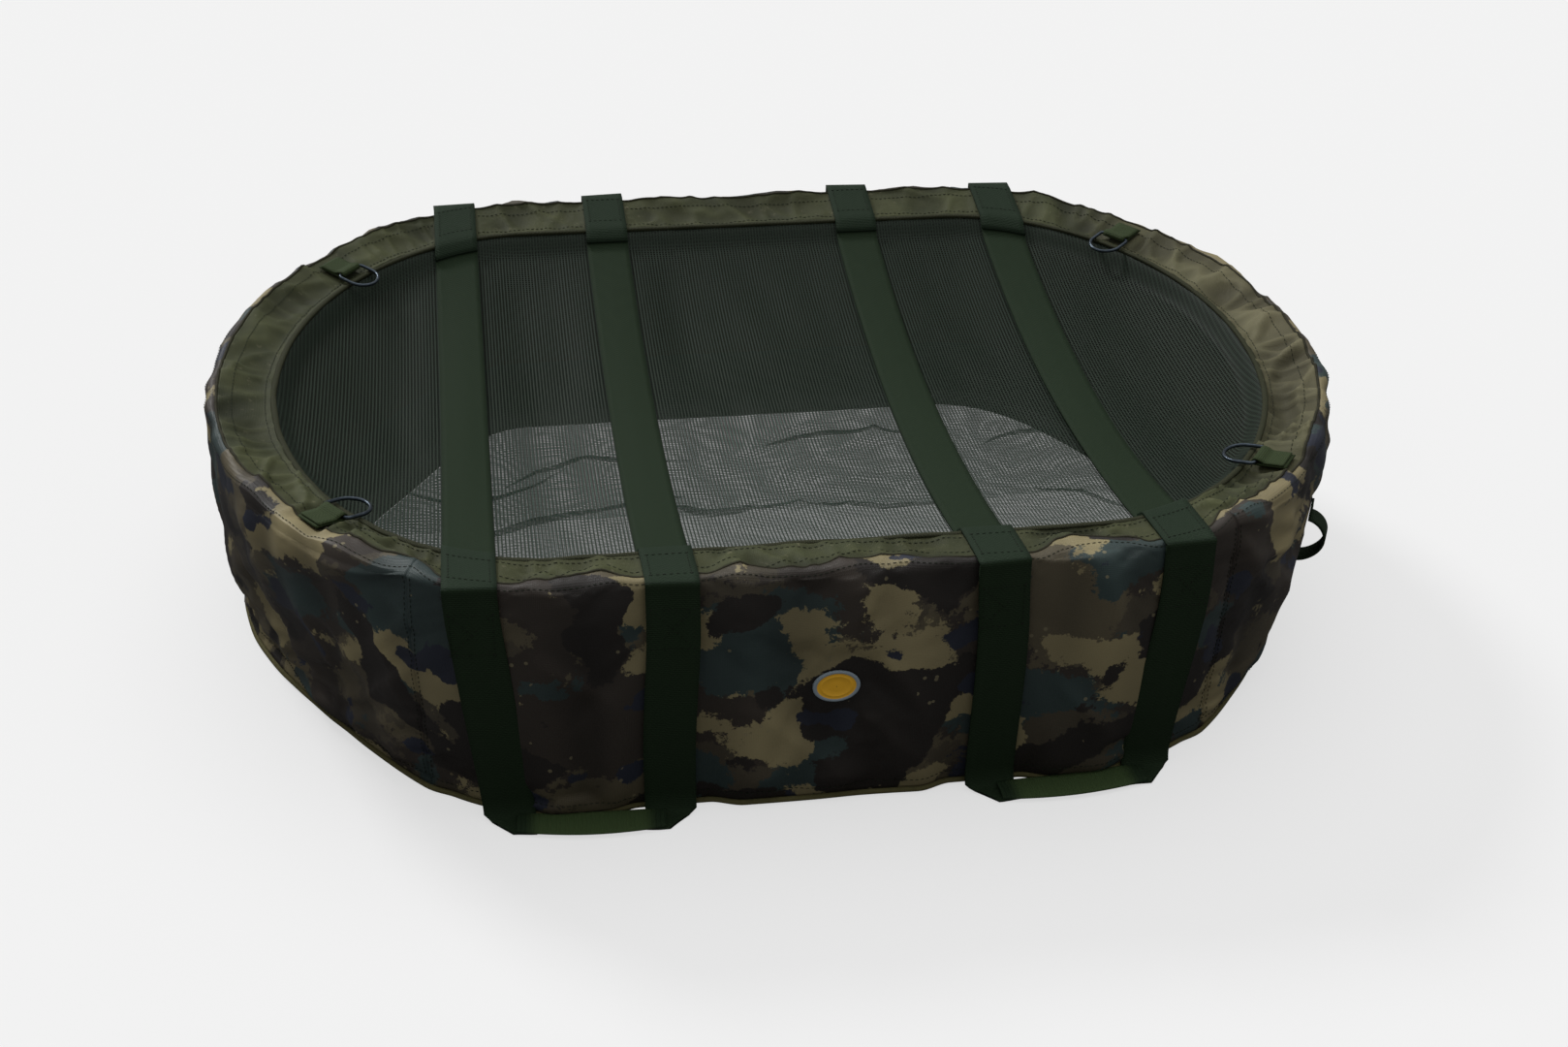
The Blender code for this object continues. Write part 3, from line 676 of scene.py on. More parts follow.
def held_weights():
    """1 where the cloth is sewn down, 0 where it is free."""
    held = np.where((ROW == 0) | (ROW == LAST_ROW), 1.0, 0.0)
    held = np.maximum(held, np.where(ROW == SEAM_ROW, SEAM_HELD, 0.0))
    held = np.maximum(held, PANEL_HELD * (gap_round(ALONG, PANEL_SEAMS) < CLOTH_GRID) * (ROW < SEAM_ROW))
    on_lane = (gap_round(ALONG, STRAP_S) < LANE_HELD) * ((ROW > WALL_STEPS) | (TALL > LANE_LOW))
    badge = np.hypot(gap_round(ALONG, BADGE_S), TALL - BADGE_Z) < BADGE_HELD
    loop = (gap_round(ALONG, LOOP_S) < LOOP_HELD) & (TALL > LOOP_LOW - LOOP_HELD)
    loop = loop & (TALL < LOOP_HIGH + LOOP_HELD)
    return np.maximum(np.maximum(held, on_lane), (badge | loop) & (ROW < WALL_STEPS))


# %% Cloth simulation
CLOTH_FRAMES, CLOTH_PRESSURE, SPARE_TAUT, SPARE_SLACK = 24, 1.2, -0.012, -0.060


def simulate(points, held, loose):
    """Rests a closed skin of cloth and gives back its points."""
    piece = grid("loose_skin", points, None, np.zeros((*points.shape[:2], 2)), True)
    kept = points.shape[1] - 1
    for name, weights in (("held", held), ("loose", loose)):
        group = piece.vertex_groups.new(name=name)
        for index, weight in enumerate(weights[:, :kept].ravel()):
            group.add([index], float(weight), "REPLACE")
    cloth = piece.modifiers.new("cloth", "CLOTH")
    settings = cloth.settings
    settings.quality, settings.mass, settings.air_damping = 6, 0.2, 4.0
    settings.tension_stiffness, settings.compression_stiffness = 18.0, 18.0
    settings.shear_stiffness, settings.bending_stiffness = 6.0, 0.5
    settings.vertex_group_mass, settings.vertex_group_shrink = "held", "loose"
    settings.shrink_min, settings.shrink_max = SPARE_TAUT, SPARE_SLACK
    settings.use_pressure, settings.uniform_pressure_force = True, CLOTH_PRESSURE
    settings.effector_weights.gravity = 0.15
    cloth.collision_settings.use_collision = False
    cloth.point_cache.frame_start, cloth.point_cache.frame_end = 1, CLOTH_FRAMES
    for number in range(1, CLOTH_FRAMES + 1):
        bpy.context.scene.frame_set(number)
    bake(piece)
    bpy.context.scene.frame_set(1)
    rested = np.empty(len(piece.data.vertices) * 3, dtype=np.float32)
    piece.data.vertices.foreach_get("co", rested)
    bpy.data.objects.remove(piece, do_unlink=True)
    rested = rested.astype(float).reshape(points.shape[0], kept, 3)
    return np.concatenate([rested, rested[:, :1]], axis=1)


# %% [markdown]
# A pinned skin of this size stays too smooth, so folds are added to it in code: short sharp ones
# across the rim, long soft ones down the wall, two long creases on the left end, a belly at the
# foot between the straps, and a swell of the rim between them.

# %% Folds and creases
SHORT_FOLDS = ((0.030, 0.090, 0.0, 61), (0.055, 0.060, 0.8, 62))  # size along and across, slant, seed
SHORT_SHARE, SHORT_LEVEL, SHORT_TALL = 0.6, 0.45, (0.0025, 0.009)  # height where taut, and more where slack
BROAD_FOLDS, BROAD_TALL = (0.090, 0.070, 63), (0.004, 0.006)
LONG_FOLDS, LONG_TALL, WALL_SHARE, LOW_ROWS = (0.050, 0.190, 64), 0.009, (0.6, 0.3), 8
LEANING_FOLDS, LEANING_TALL, LEANING_LEVEL = (0.100, 0.200, 0.7, 65), 0.0045, 0.3
INNER_ROWS, INNER_LOSS = 7, 0.7
STRAP_GAP, BADGE_GAP, LOOP_GAP = (0.042, 0.040), (0.026, 0.025), (0.045, 0.02)  # clear of folds, then a fade
LEFT_CREASES = (  # start and end as a way along from the left end's middle and a height, width and depth
    ((0.02, 0.235), (0.30, 0.03), 0.010, 0.006),
    ((-0.10, 0.20), (0.10, 0.08), 0.012, 0.004),
)
CREASE_END, SEAM_DRAWN, SEAM_REACH = 0.05, 0.0025, 0.006
BELLY, BELLY_TALL, BELLY_GAP, PILLOW, PILLOW_ROWS = 0.009, 0.055, (0.034, 0.035), 0.0055, 7
FOLD_TALL, BLEND_BELOW, BLEND_ROWS = 0.0045, 5, 8
UNEVEN, UNEVEN_SIZE, RIM_CAP, LANE_CAP, FREE_CAP = 0.0012, 0.05, 0.004, 0.002, 0.010


def crease(start, end, width, depth):
    """A valley along a straight line between two points on the left end."""
    start, end = [(at_angle(pi) + along, tall) for along, tall in (start, end)]
    way = np.subtract(end, start)
    length = np.linalg.norm(way)
    way = way / length
    along = (ALONG - start[0]) * way[0] + (TALL - start[1]) * way[1]
    aside = -(ALONG - start[0]) * way[1] + (TALL - start[1]) * way[0]
    ends = smooth(along / CREASE_END) * smooth((length - along) / CREASE_END)
    return -depth * np.exp(-((aside / width) ** 2)) * ends * (ROW < WALL_STEPS)


def ridges(along, across, slant, seed):
    """Sharp folds, about along by across in size, that lean by slant; from 0 to 1."""
    return sharpen(ripple(ALONG + slant * UP, UP, along, across, seed), 1.4)


def rim_puckers():
    """Heights of the short folds across the rim, which die out at its inner edge."""
    loose = slack(ALONG)
    short = sum(SHORT_SHARE * ridges(*fold) for fold in SHORT_FOLDS) - SHORT_LEVEL
    broad = ripple(ALONG, UP, *BROAD_FOLDS)
    inner = 1 - INNER_LOSS * smooth((ROW - LAST_ROW + INNER_ROWS) / INNER_ROWS)
    folds = (SHORT_TALL[0] + SHORT_TALL[1] * loose) * short + (BROAD_TALL[0] + BROAD_TALL[1] * loose) * broad
    return inner * folds * calm(ALONG) * off_tabs(ALONG)


def clear_of(s, z, clear, fade):
    """0 on what is sewn to the wall at s and z, 1 well away from it."""
    return smooth((np.hypot(gap_round(ALONG, s), TALL - z) - clear) / fade)


def wall_puckers():
    """Heights of the long soft folds down the wall, clear of the straps, the badge and the loop."""
    lanes = away_from(ALONG, STRAP_S, *STRAP_GAP)
    badge, loop = clear_of(BADGE_S, BADGE_Z, *BADGE_GAP), clear_of(LOOP_S, LOOP_MIDDLE, *LOOP_GAP)
    long = LONG_TALL * ripple(ALONG, UP, *LONG_FOLDS)
    long += LEANING_TALL * (ridges(*LEANING_FOLDS) - LEANING_LEVEL)
    share = WALL_SHARE[0] + WALL_SHARE[1] * slack(ALONG)
    return share * long * lanes * badge * loop * smooth(ROW / LOW_ROWS)


def wall_form():
    """How far out the wall stands: its creases, its drawn-in panel seams and its belly."""
    out = sum(crease(*line) for line in LEFT_CREASES)
    drawn = SEAM_DRAWN * np.exp(-gap_round(ALONG, PANEL_SEAMS) / SEAM_REACH)
    out -= drawn * (ROW < SEAM_ROW) * (ROW > 0)
    straight, lanes = np.sin(ROUND_ANGLE) ** 8, away_from(ALONG, STRAP_S, *BELLY_GAP)
    return out + BELLY * straight * lanes * np.exp(-((TALL / BELLY_TALL) ** 2)) * (ROW < WALL_STEPS)


def skin_normals(points):
    """Unit ways out of the skin, at each of its points."""
    ring = points[:, :-1]
    along = np.roll(ring, -1, axis=1) - np.roll(ring, 1, axis=1)
    out = np.cross(along, np.gradient(ring, axis=0))
    out /= np.linalg.norm(out, axis=-1, keepdims=True)
    return np.concatenate([out, out[:, :1]], axis=1)


def spread_out(coarse):
    """Values on every second row and column, spread evenly over all of them."""
    full = np.empty(TAUT.shape)
    full[::2, ::2] = coarse
    full[1::2, ::2] = (coarse[:-1] + coarse[1:]) / 2
    full[:, 1::2] = (full[:, :-1:2] + full[:, 2::2]) / 2
    return full


def cloth_moves():
    """How far the simulation moves each point of the skin, with a cap."""
    uneven = UNEVEN * ripple(ALONG, UP, UNEVEN_SIZE, UNEVEN_SIZE, 11) * calm(ALONG)
    start = TAUT + outward(ALONG) * uneven[..., None]
    move = start - TAUT
    half = np.s_[::2, ::2]
    rested = simulate(start[half], held_weights()[half], slack(ALONG)[half])
    move = spread_out(rested - TAUT[half])
    cap = np.where(ROW > WALL_STEPS, RIM_CAP, LANE_CAP + FREE_CAP * calm(ALONG))
    far = np.maximum(np.linalg.norm(move, axis=-1), 1e-9)
    move *= (cap * np.tanh(far / cap) / far)[..., None]
    kept = np.linalg.norm(move, axis=-1).max()
    print(f"skin moved by up to {1000 * far.max():.1f} mm, kept {1000 * kept:.1f} mm")
    return move


on_rim = smooth((ROW - SEAM_ROW + BLEND_BELOW) / BLEND_ROWS)
puckers = on_rim * rim_puckers() + (1 - on_rim) * wall_puckers()
# FOLD drives the painted shade and painted highlight of the cloth materials.
FOLD = np.clip(puckers / FOLD_TALL, -1.0, 1.0)
swell = PILLOW * calm(ALONG) * off_tabs(ALONG) * np.exp(-(((ROW - SEAM_ROW) / PILLOW_ROWS) ** 2))
SKIN = TAUT + cloth_moves() + outward(ALONG) * wall_form()[..., None]
SKIN = SKIN + skin_normals(TAUT) * (puckers + swell)[..., None]
print(f"folds: {1000 * puckers.min():.1f} to {1000 * puckers.max():.1f} mm high")


def skin_line(level, lift=0.0):
    """A closed line round the skin at a row number, which may lie between two rows."""
    low = min(int(level), LAST_ROW - 1)
    share = level - low
    line = SKIN[low] * (1 - share) + SKIN[low + 1] * share
    up = SKIN[low + 1] - SKIN[low]
    along = np.roll(line, -1, axis=0) - np.roll(line, 1, axis=0)
    normal = np.cross(along, up)
    return line + lift * normal / np.linalg.norm(normal, axis=1, keepdims=True)


# %% [markdown]
# The skin is then cut into the pieces that are really sewn together: four cover panels and the
# olive top strip. Each gets the cloth's thickness, and keeps the heights of its folds for the
# materials.

# %% Cover panels and top strip
COVER_THICK, COLUMNS, COVER_CUT = 0.0015, len(RIM_S) - 1, 0.262


def cover_panel(name, start, end):
    """The skin between the base and the rim seam, from one place to another."""
    first, last = [int(round(place / ROUND * COLUMNS)) for place in (start, end)]
    pick = np.arange(first, last + 1)
    uv = pair_up(pick * ROUND / COLUMNS, SKIN_UP[:SEAM_ROW + 1, None])
    cut = np.s_[:SEAM_ROW + 1, pick % COLUMNS]
    return grid(name, SKIN[cut], CAMO, uv, thick=COVER_THICK, fold=FOLD[cut])


for side, (start, end) in PANELS.items():
    panel = cover_panel(f"cover_{side}", start, end)
    settle(panel, [f"outer_wall_{side}"])
strip_uv = pair_up(RIM_S, SKIN_UP[SEAM_ROW:, None])
strip = grid("top_strip", SKIN[SEAM_ROW:], OLIVE, strip_uv, True, COVER_THICK, fold=FOLD[SEAM_ROW:])
settle(strip, ["rim_top_strip"])

# %% [markdown]
# ## Piping, lining and base
# A thin corded seam joins cover and strip, and another runs round the base. A dark lining faces
# the wall's inner side, a coated strip lies under the wall, and a folded tape binds the rim's
# inner edge, where the mesh sling is sewn in.

# %% Piping, lining and base
RIM_CORD, RIM_CORD_SUNK, BASE_CORD, BASE_CORD_LOW = 0.0015, 0.0003, 0.0032, 0.0005
LINING_D, LINING_LOW, LINING_TALL, LINING_CUT = 0.0626, 0.004, 0.2465, 0.25
LINING_WAVE, LINING_WAVE_SIZE, BINDING_WAVE, BINDING_WAVE_SIZE = 0.0015, 0.1, 0.0010, 0.04
BASE_D, BASE_WIDE, BASE_UP, BASE_THICK = 0.001, 0.062, 0.0030, 0.0022
BINDING_WIDE, BINDING_TOP, BINDING_LOW, BINDING_UV = 0.0032, 0.0018, 0.0008, 0.003
rim_cord = tube("rim_cord", skin_line(SEAM_ROW, -RIM_CORD_SUNK)[:-1], RIM_CORD, PIPING)
settle(rim_cord, ["rim_piping"])
base_line = SKIN[0, :-1] - np.array([0.0, 0.0, WALL_LOW - BASE_CORD - BASE_CORD_LOW])
settle(tube("base_cord", base_line, BASE_CORD, BASE_PIPING), ["base_piping"])

s, v = np.meshgrid(RIM_S, np.linspace(0, 1, 26))
wave = LINING_WAVE * ripple(s, v * LINING_CUT, LINING_WAVE_SIZE, LINING_WAVE_SIZE, 31)
inner = oval(s, LINING_D + wave, LINING_LOW + LINING_TALL * v)
lining = grid("lining", inner, LINING, pair_up(s, v * LINING_CUT), True)
settle(lining, ["inner_wall_lining"])

s, q = np.meshgrid(RIM_S, np.linspace(0, 1, 10))
under = oval(s, BASE_D + q * BASE_WIDE, np.full_like(s, BASE_UP))
base = grid("base_strip", under, BASE, pair_up(s, q * WALL), True, BASE_THICK)
settle(base, ["wall_base_strip"])


def binding_ring():
    """A folded tape over the rim's inner edge."""
    s, a = np.meshgrid(RIM_S, np.linspace(-0.35 * pi, 1.35 * pi, 13))
    wave = BINDING_WAVE * ripple(s, np.zeros_like(a), BINDING_WAVE_SIZE, 1.0, 41) * calm(s)
    middle = RIM_INNER - BINDING_LOW
    reach = np.where(np.sin(a) < 0, BINDING_DROP, BINDING_TOP)
    points = oval(s, BINDING_MIDDLE - BINDING_WIDE * np.cos(a) + wave, middle + reach * np.sin(a) + wave)
    return grid("binding", points, BINDING, pair_up(s, a * BINDING_UV), True)


settle(binding_ring(), ["rim_inner_binding"])
print("piping, lining, base and binding made")

# %% [markdown]
# ## Mesh sling
# The sling hangs from the bound edge like a shallow hammock: its height follows a parabola
# across the cradle, deepest where the cradle is widest. Between the straps it is a little
# slack. Its hem lies double, and turns up to the bound edge.

# %% Sling
SLING_COLUMNS, SLING_ROWS, EDGE_CLIMB, CLIMB_FROM = 221, 141, 0.0120, 0.93
SLING_HEM, HEM_FROM, HEM_FADE, SLING_SLACK, STRAP_CLEAR, STRAP_FADE = 0.85, 0.925, 0.03, 0.003, 0.004, 0.05
SIDE_TAUT, END_TAUT = 0.25, 0.10
SLING_FOLDS = ((0.006, 0.16, 1, 1.4, 0.0), (0.0025, 0.045, 2, 2.5, 0.3))  # height, size, seed, stretch, slant


def sling_height(x, v):
    """Height of the sling at x and at a share v of the way from its middle to its edge."""
    share = oval_y(x, SLING_EDGE) / oval_y(0.0, SLING_EDGE)
    return SLING_TOP - SLING_SAG * share * share * (1.0 - v * v)


def rim_share(x, y):
    """0 inside the oval's straight middle and 1 on the sling's sewn edge."""
    past = np.maximum(np.abs(x) - STRAIGHT / 2, 0.0) / (RADIUS_X - SLING_EDGE)
    return np.hypot(past, y / (RADIUS_Y - SLING_EDGE))


def edge_climb(x, y):
    """How far the sling and the straps on it turn up to the rim, close to the sewn edge."""
    return EDGE_CLIMB * smooth((rim_share(x, y) - CLIMB_FROM) / (1 - CLIMB_FROM))


def patch_noise(x, y, size, seed, stretch=1.0):
    """Plain noise over the ground plan, with features size by size times stretch."""
    points = np.stack(np.broadcast_arrays(x / size, y / (size * stretch), seed * 3.3), axis=-1)
    return np.reshape([noise.noise(Vector(p)) for p in points.reshape(-1, 3)], points.shape[:2])


def free_of_straps(x):
    """0 on the straps and close to their edges, 1 well away from them."""
    lane = np.min(np.abs(x[..., None] - np.array(STRAP_X)), axis=-1) - WEBBING / 2
    return smooth((lane - STRAP_CLEAR) / STRAP_FADE)


half_sling = LENGTH / 2 - SLING_EDGE
x = half_sling * np.sin(np.linspace(-pi / 2, pi / 2, SLING_COLUMNS))[None, :]
v = np.linspace(-1, 1, SLING_ROWS)[:, None]
y = v * oval_y(x, SLING_EDGE)
give = free_of_straps(x) * smooth((1 - np.abs(v)) / SIDE_TAUT) * smooth((half_sling - np.abs(x)) / END_TAUT)
loose = sum(tall * patch_noise(x + slant * y, y, size, seed, stretch)
            for tall, size, seed, stretch, slant in SLING_FOLDS)
sling_z = sling_height(x, v) + edge_climb(x, y) + (loose - SLING_SLACK) * give
sheet_points = np.stack(np.broadcast_arrays(x, y, sling_z), axis=-1)
hem = SLING_HEM * smooth((rim_share(x, y) - HEM_FROM) / HEM_FADE)
sling = grid("net_sling", sheet_points, SLING_NET, sheet_points[..., :2], fold=hem)
settle(sling, ["sling_mesh"])
print(f"sling: {2 * half_sling:.3f} m long, {1000 * SLING_SAG:.0f} mm deep")

# %% [markdown]
# ## Mesh base
# The base is a second, coarser net, sewn in two widths. A rounded foot climbs the wall, and the
# floor lies on the ground in loose folds. Where it is pleated, narrow strips of the net lie
# double, which shows as dark curved lines.

# %% Foot of the base net
FOOT_SWAY, FOOT_WAVE = 0.004, (0.06, 0.2)


def foot_rows(count=22):
    """(d, z, length) down the wall and round the foot."""
    drop = BASE_TOP - GROUND_GAP - BASE_CORNER
    length = np.linspace(0, drop + BASE_CORNER * pi / 2, count)
    turn = np.clip((length - drop) / BASE_CORNER, 0, pi / 2)
    d = MESH_D + BASE_CORNER * (1 - np.cos(turn))
    z = np.where(length < drop, BASE_TOP - length, GROUND_GAP + BASE_CORNER * (1 - np.sin(turn)))
    return d, z, length


foot_d, foot_z, foot_l = foot_rows()
s, row = np.meshgrid(RIM_S, np.arange(len(foot_l)))
sway = FOOT_SWAY * np.sin(pi * row / (len(foot_l) - 1)) * (0.5 + ripple(s, foot_l[row], *FOOT_WAVE, 51))
foot_points = oval(s, foot_d[row] + np.maximum(sway, 0.0), foot_z[row])
foot = grid("net_foot", foot_points, FOOT_NET, pair_up(s, foot_l[row]), True)
settle(foot, ["base_mesh_foot"])
print(f"foot of the base net: {1000 * foot_l[-1]:.0f} mm wide")

# %% Floor of the base net
FLOOR_UP, FLOOR_SLANT, FLOOR_STRETCH, FLOOR_TAUT = 0.0012, (0.5, 0.35), 0.45, (0.15, 0.08)
PLEAT_UP, PLEAT_ARCH, PLEAT_ENDS, PLEAT_STEPS, PLEAT_NET = 0.0012, 0.004, 0.06, 40, 1.02
FLOOR_FOLDS = ((0.17, 0.007, 1), (0.08, 0.0025, 2))  # size, height and seed of the folds
PLEATS = (  # start, middle and end on the ground, and width
    ((-0.36, 0.045), (-0.25, 0.092), (-0.08, 0.130), 0.012),
    ((-0.12, 0.128), (-0.05, 0.088), (0.06, 0.112), 0.010),
    ((-0.42, 0.190), (-0.33, 0.150), (-0.22, 0.215), 0.007),
    ((-0.30, 0.175), (-0.20, 0.225), (-0.06, 0.205), 0.007),
    ((0.05, 0.110), (0.14, 0.083), (0.26, 0.092), 0.006),
    ((0.30, 0.205), (0.38, 0.240), (0.47, 0.190), 0.007),
    ((0.02, 0.230), (0.12, 0.262), (0.27, 0.240), 0.006),
    ((0.34, 0.105), (0.40, 0.080), (0.45, 0.040), 0.008),
    ((-0.20, -0.12), (-0.02, -0.08), (0.18, -0.15), 0.008),
    ((-0.46, -0.02), (-0.40, -0.10), (-0.30, -0.16), 0.007),
)
edge_line = oval(LINE_S, BASE_EDGE, 0.0)
FRONT_EDGE = edge_line[edge_line[:, 1] <= 0.0]
FRONT_EDGE = FRONT_EDGE[np.argsort(FRONT_EDGE[:, 0])]
FLOOR_FROM, FLOOR_TO = FRONT_EDGE[0, 0], FRONT_EDGE[-1, 0]


def floor_half(x):
    """Half the floor's width at x."""
    return np.interp(x, FRONT_EDGE[:, 0], -FRONT_EDGE[:, 1])


def floor_height(x, y):
    """Height of the slack floor: sharp folds that die out at its edge."""
    folds = 0.0
    for size, tall, seed in FLOOR_FOLDS:
        field = patch_noise(x + FLOOR_SLANT[0] * y, y - FLOOR_SLANT[1] * x, size, seed, FLOOR_STRETCH)
        folds = folds + tall * sharpen(field, 1.5)
    inside = 1 - np.abs(y) / np.maximum(floor_half(x), 1e-4)
    ends = np.minimum(x - FLOOR_FROM, FLOOR_TO - x)
    return FLOOR_UP + folds * smooth(inside / FLOOR_TAUT[0]) * smooth(ends / FLOOR_TAUT[1])


def pleat(start, middle, end, wide):
    """A narrow leaf of net lying double along a curve through three ground points."""
    start, middle, end = [np.array(point) for point in (start, middle, end)]
    t = np.linspace(0, 1, PLEAT_STEPS)[:, None]
    bend = 2 * middle - (start + end) / 2
    line = (1 - t) ** 2 * start + 2 * t * (1 - t) * bend + t ** 2 * end
    way = np.gradient(line, axis=0)
    side = np.stack([-way[:, 1], way[:, 0]], axis=-1) / np.linalg.norm(way, axis=1, keepdims=True)
    across = np.linspace(-0.5, 0.5, 5)[None, :, None]
    plan = line[:, None] + side[:, None] * across * wide * (PLEAT_ENDS + np.sin(pi * t)[:, None] ** 0.7)
    arch = PLEAT_ARCH * (1 - (2 * across[..., 0]) ** 2) * np.sin(pi * t)
    z = floor_height(plan[..., 0], plan[..., 1]) + PLEAT_UP + arch
    points = np.concatenate([plan, z[..., None]], axis=-1)
    return grid("pleat", points, FLOOR_NET, plan[..., ::-1] * PLEAT_NET)


middle_x, half_x = (FLOOR_FROM + FLOOR_TO) / 2, (FLOOR_TO - FLOOR_FROM) / 2
x = middle_x + half_x * np.sin(np.linspace(-pi / 2, pi / 2, 181))[None, :]
v = np.linspace(-1, 1, 101)[:, None]
y = v * floor_half(x)
x = np.broadcast_to(x, y.shape)
floor_net = grid("floor_net", np.stack([x, y, floor_height(x, y)], axis=-1), FLOOR_NET, pair_up(x, y))
floor_net = join("net_floor", [floor_net] + [pleat(*curve) for curve in PLEATS])
settle(floor_net, ["base_mesh"])
print("base net:", len(PLEATS), "pleats")

# %% [markdown]
# ## Webbing straps
# Webbing is flat and keeps its width, so it is modelled directly: `ribbon` makes woven tape
# through rows of points. Four straps lie across the sling and carry its load. At each end a
# short stretch is lapped on the strap, crosses the rim and ends on its handle's hinge line, so
# that the webbing stays closed when the handle lifts.

# %% Straps
HINGE_OUT, HINGE_UP, HINGE_CREST, RIM_TAPE_LAP = 0.0067, 0.26665, 0.0003, 0.0026
STRAP_BOW, STRAP_TWIST, TAPE_COLUMNS = 0.0008, 0.06, 9
LAP_D, STRIP_D = (0.083, 0.078, 0.073, 0.069), np.linspace(0.060, 0.004, 16)


def ribbon(name, points, material, thick=WEBBING_THICK, light_share=0.0):
    """Woven tape through rows of points, with each row's share of painted light from 0 to 1."""
    along = run_length(points.mean(axis=1))
    wide = np.linalg.norm(points[0, -1] - points[0, 0])
    uv = np.stack(np.meshgrid(along, np.linspace(0, wide, points.shape[1]), indexing="ij"), axis=-1)
    light_share = np.broadcast_to(light_share, points.shape[:2])
    return grid(name, points, material, uv, thick=thick, offset=0.0, fold=light_share)


def strap_rows(x):
    """One strap's centre surface from the front rim to the back rim, in rows."""
    columns = np.linspace(x - WEBBING / 2, x + WEBBING / 2, TAPE_COLUMNS)[None, :]
    v = np.linspace(-1, 1, 120)[:, None]
    bow = STRAP_BOW * np.cos(2 * pi * (columns - x) / WEBBING) * (1 - v * v)
    twist = STRAP_TWIST * (columns - x) * np.sin(3 * v + 20 * x) * (1 - v * v)
    y = v * oval_y(columns, SLING_EDGE)
    z = sling_height(x, v) + edge_climb(columns, y) + STRAP_LIFT + bow + twist
    return np.stack(np.broadcast_arrays(columns, y, z), axis=-1)


for number, x in enumerate(STRAP_X, 1):
    settle(ribbon(f"strap_{number}", strap_rows(x), TAPE), [f"sling_strap_{number}"])


def handle_frame(side, xs):
    """A handle's start point, its way along the rim, its way out and its span."""
    ends = [Vector((x, side * float(oval_y(x, 0.0)), 0.0)) for x in xs]
    along = (ends[1] - ends[0]).normalized()
    out = Vector((along.y, -along.x, 0.0))
    return ends[0], along, out if out.y * side > 0 else -out, (ends[1] - ends[0]).length


def handle_points(side, xs, u, n, z):
    """World points from lengths along a handle's hinge line, outward and up."""
    start, along, out, _ = handle_frame(side, xs)
    u, n, z = [part[..., None] for part in np.broadcast_arrays(u, n, z)]
    return np.array(start) + u * np.array(along) + n * np.array(out) + z * np.array([0, 0, 1.0])


def rim_rows(x, side):
    """Webbing across the rim: lapped on the strap, across the strip and out to the hinge line."""
    columns, rows = np.linspace(x - WEBBING / 2, x + WEBBING / 2, TAPE_COLUMNS), []
    for d in LAP_D:
        y = oval_y(columns, d)
        strap_z = sling_height(x, y / oval_y(columns, SLING_EDGE)) + edge_climb(columns, y) + STRAP_LIFT
        rows.append(np.stack([columns, side * y, strap_z + RIM_TAPE_LAP], axis=-1))
    for d in STRIP_D:
        z = np.full_like(columns, HEIGHT - RIM_DISH * d / WALL + RIM_TAPE_LAP)
        rows.append(np.stack([columns, side * oval_y(columns, d), z], axis=-1))
    xs = next(pair for pair in PAIRS.values() if x in pair)
    start, along, _, _ = handle_frame(side, xs)
    shift = (columns - start.x) / along.x
    for n, z in ((HINGE_OUT / 2, HINGE_UP + HINGE_CREST), (HINGE_OUT + WEBBING_THICK / 2, HINGE_UP)):
        rows.append(handle_points(side, xs, shift, n, z))
    return np.array(rows)


for side, sign in SIDES.items():
    for number, x in enumerate(STRAP_X, 1):
        piece = ribbon(f"rim_tape_{side}_{number}", rim_rows(x, sign), RIM_TAPE)
        settle(piece, [f"rim_webbing_{side}_{number}"])
print("straps and rim webbing made")

# %% [markdown]
# ## Carrying handles
# Each handle is one length of webbing: two legs that hang down the wall, and a grip, folded to
# half its width, that lies on the ground and bows out, with painted light on its middle. The legs' outer
# corners are folded at 45 degrees. Both legs lean in towards the grip, which is shorter than the straps'
# spacing, and the outer leg of each pair leans most.

# %% Handles
FOOT_BEND, GRIP, HANDLE_END, HANDLE_FLOOR = 0.008, 0.027, 0.0370, 0.0021
GRIP_BOW, GRIP_SWELL, GRIP_LIFT, GRIP_RISE, GRIP_THICK = 0.0055, 0.0025, 0.0022, 0.0012, 0.0030
GRIP_PAINTED_LIGHT, GRIP_UNDER, GRIP_SQUARE, GRIP_LIT_SPAN = 0.9, 0.02, (0.6, 0.8), (0.15, 0.35)
LEG_START, LEG_FROM, LEG_TO, LEG_GAP, LEG_STEPS = (0.0002, 0.0010), 0.0030, 0.022, 0.0004, 76
FOOT_TALL, LEG_SWAY, SWAY_FADE, SWAY_WAVES = 0.0199, 0.0015, 0.08, (21, 40)
LEG_CURL, CURL_FADE, CURL_WAVES = 0.0006, 0.03, 160
LEG_LEAN = {"left": (0.026, 0.004), "right": (0.004, 0.018)}


def leg_path():
    """(outward, up) steps down a leg and along the ground, evenly spaced, with lengths."""
    heights = np.linspace(HINGE_UP - LEG_FROM, LEG_TO, 40)
    path = [(HINGE_OUT + LEG_START[0], HINGE_UP + LEG_START[1])]
    path += list(zip(HINGE_OUT + LEG_GAP + crown(heights), heights))
    foot = path[-1][0]
    for a in np.linspace(0.15, pi / 2, 8):
        path.append((foot + FOOT_BEND * (1 - cos(a)), HANDLE_FLOOR + FOOT_TALL * (1 - sin(a))))
    path.append((HANDLE_END, HANDLE_FLOOR))
    path = np.array(path)
    length = run_length(path)
    even = np.linspace(0, length[-1], LEG_STEPS)
    return np.interp(even, length, path[:, 0]), np.interp(even, length, path[:, 1]), even


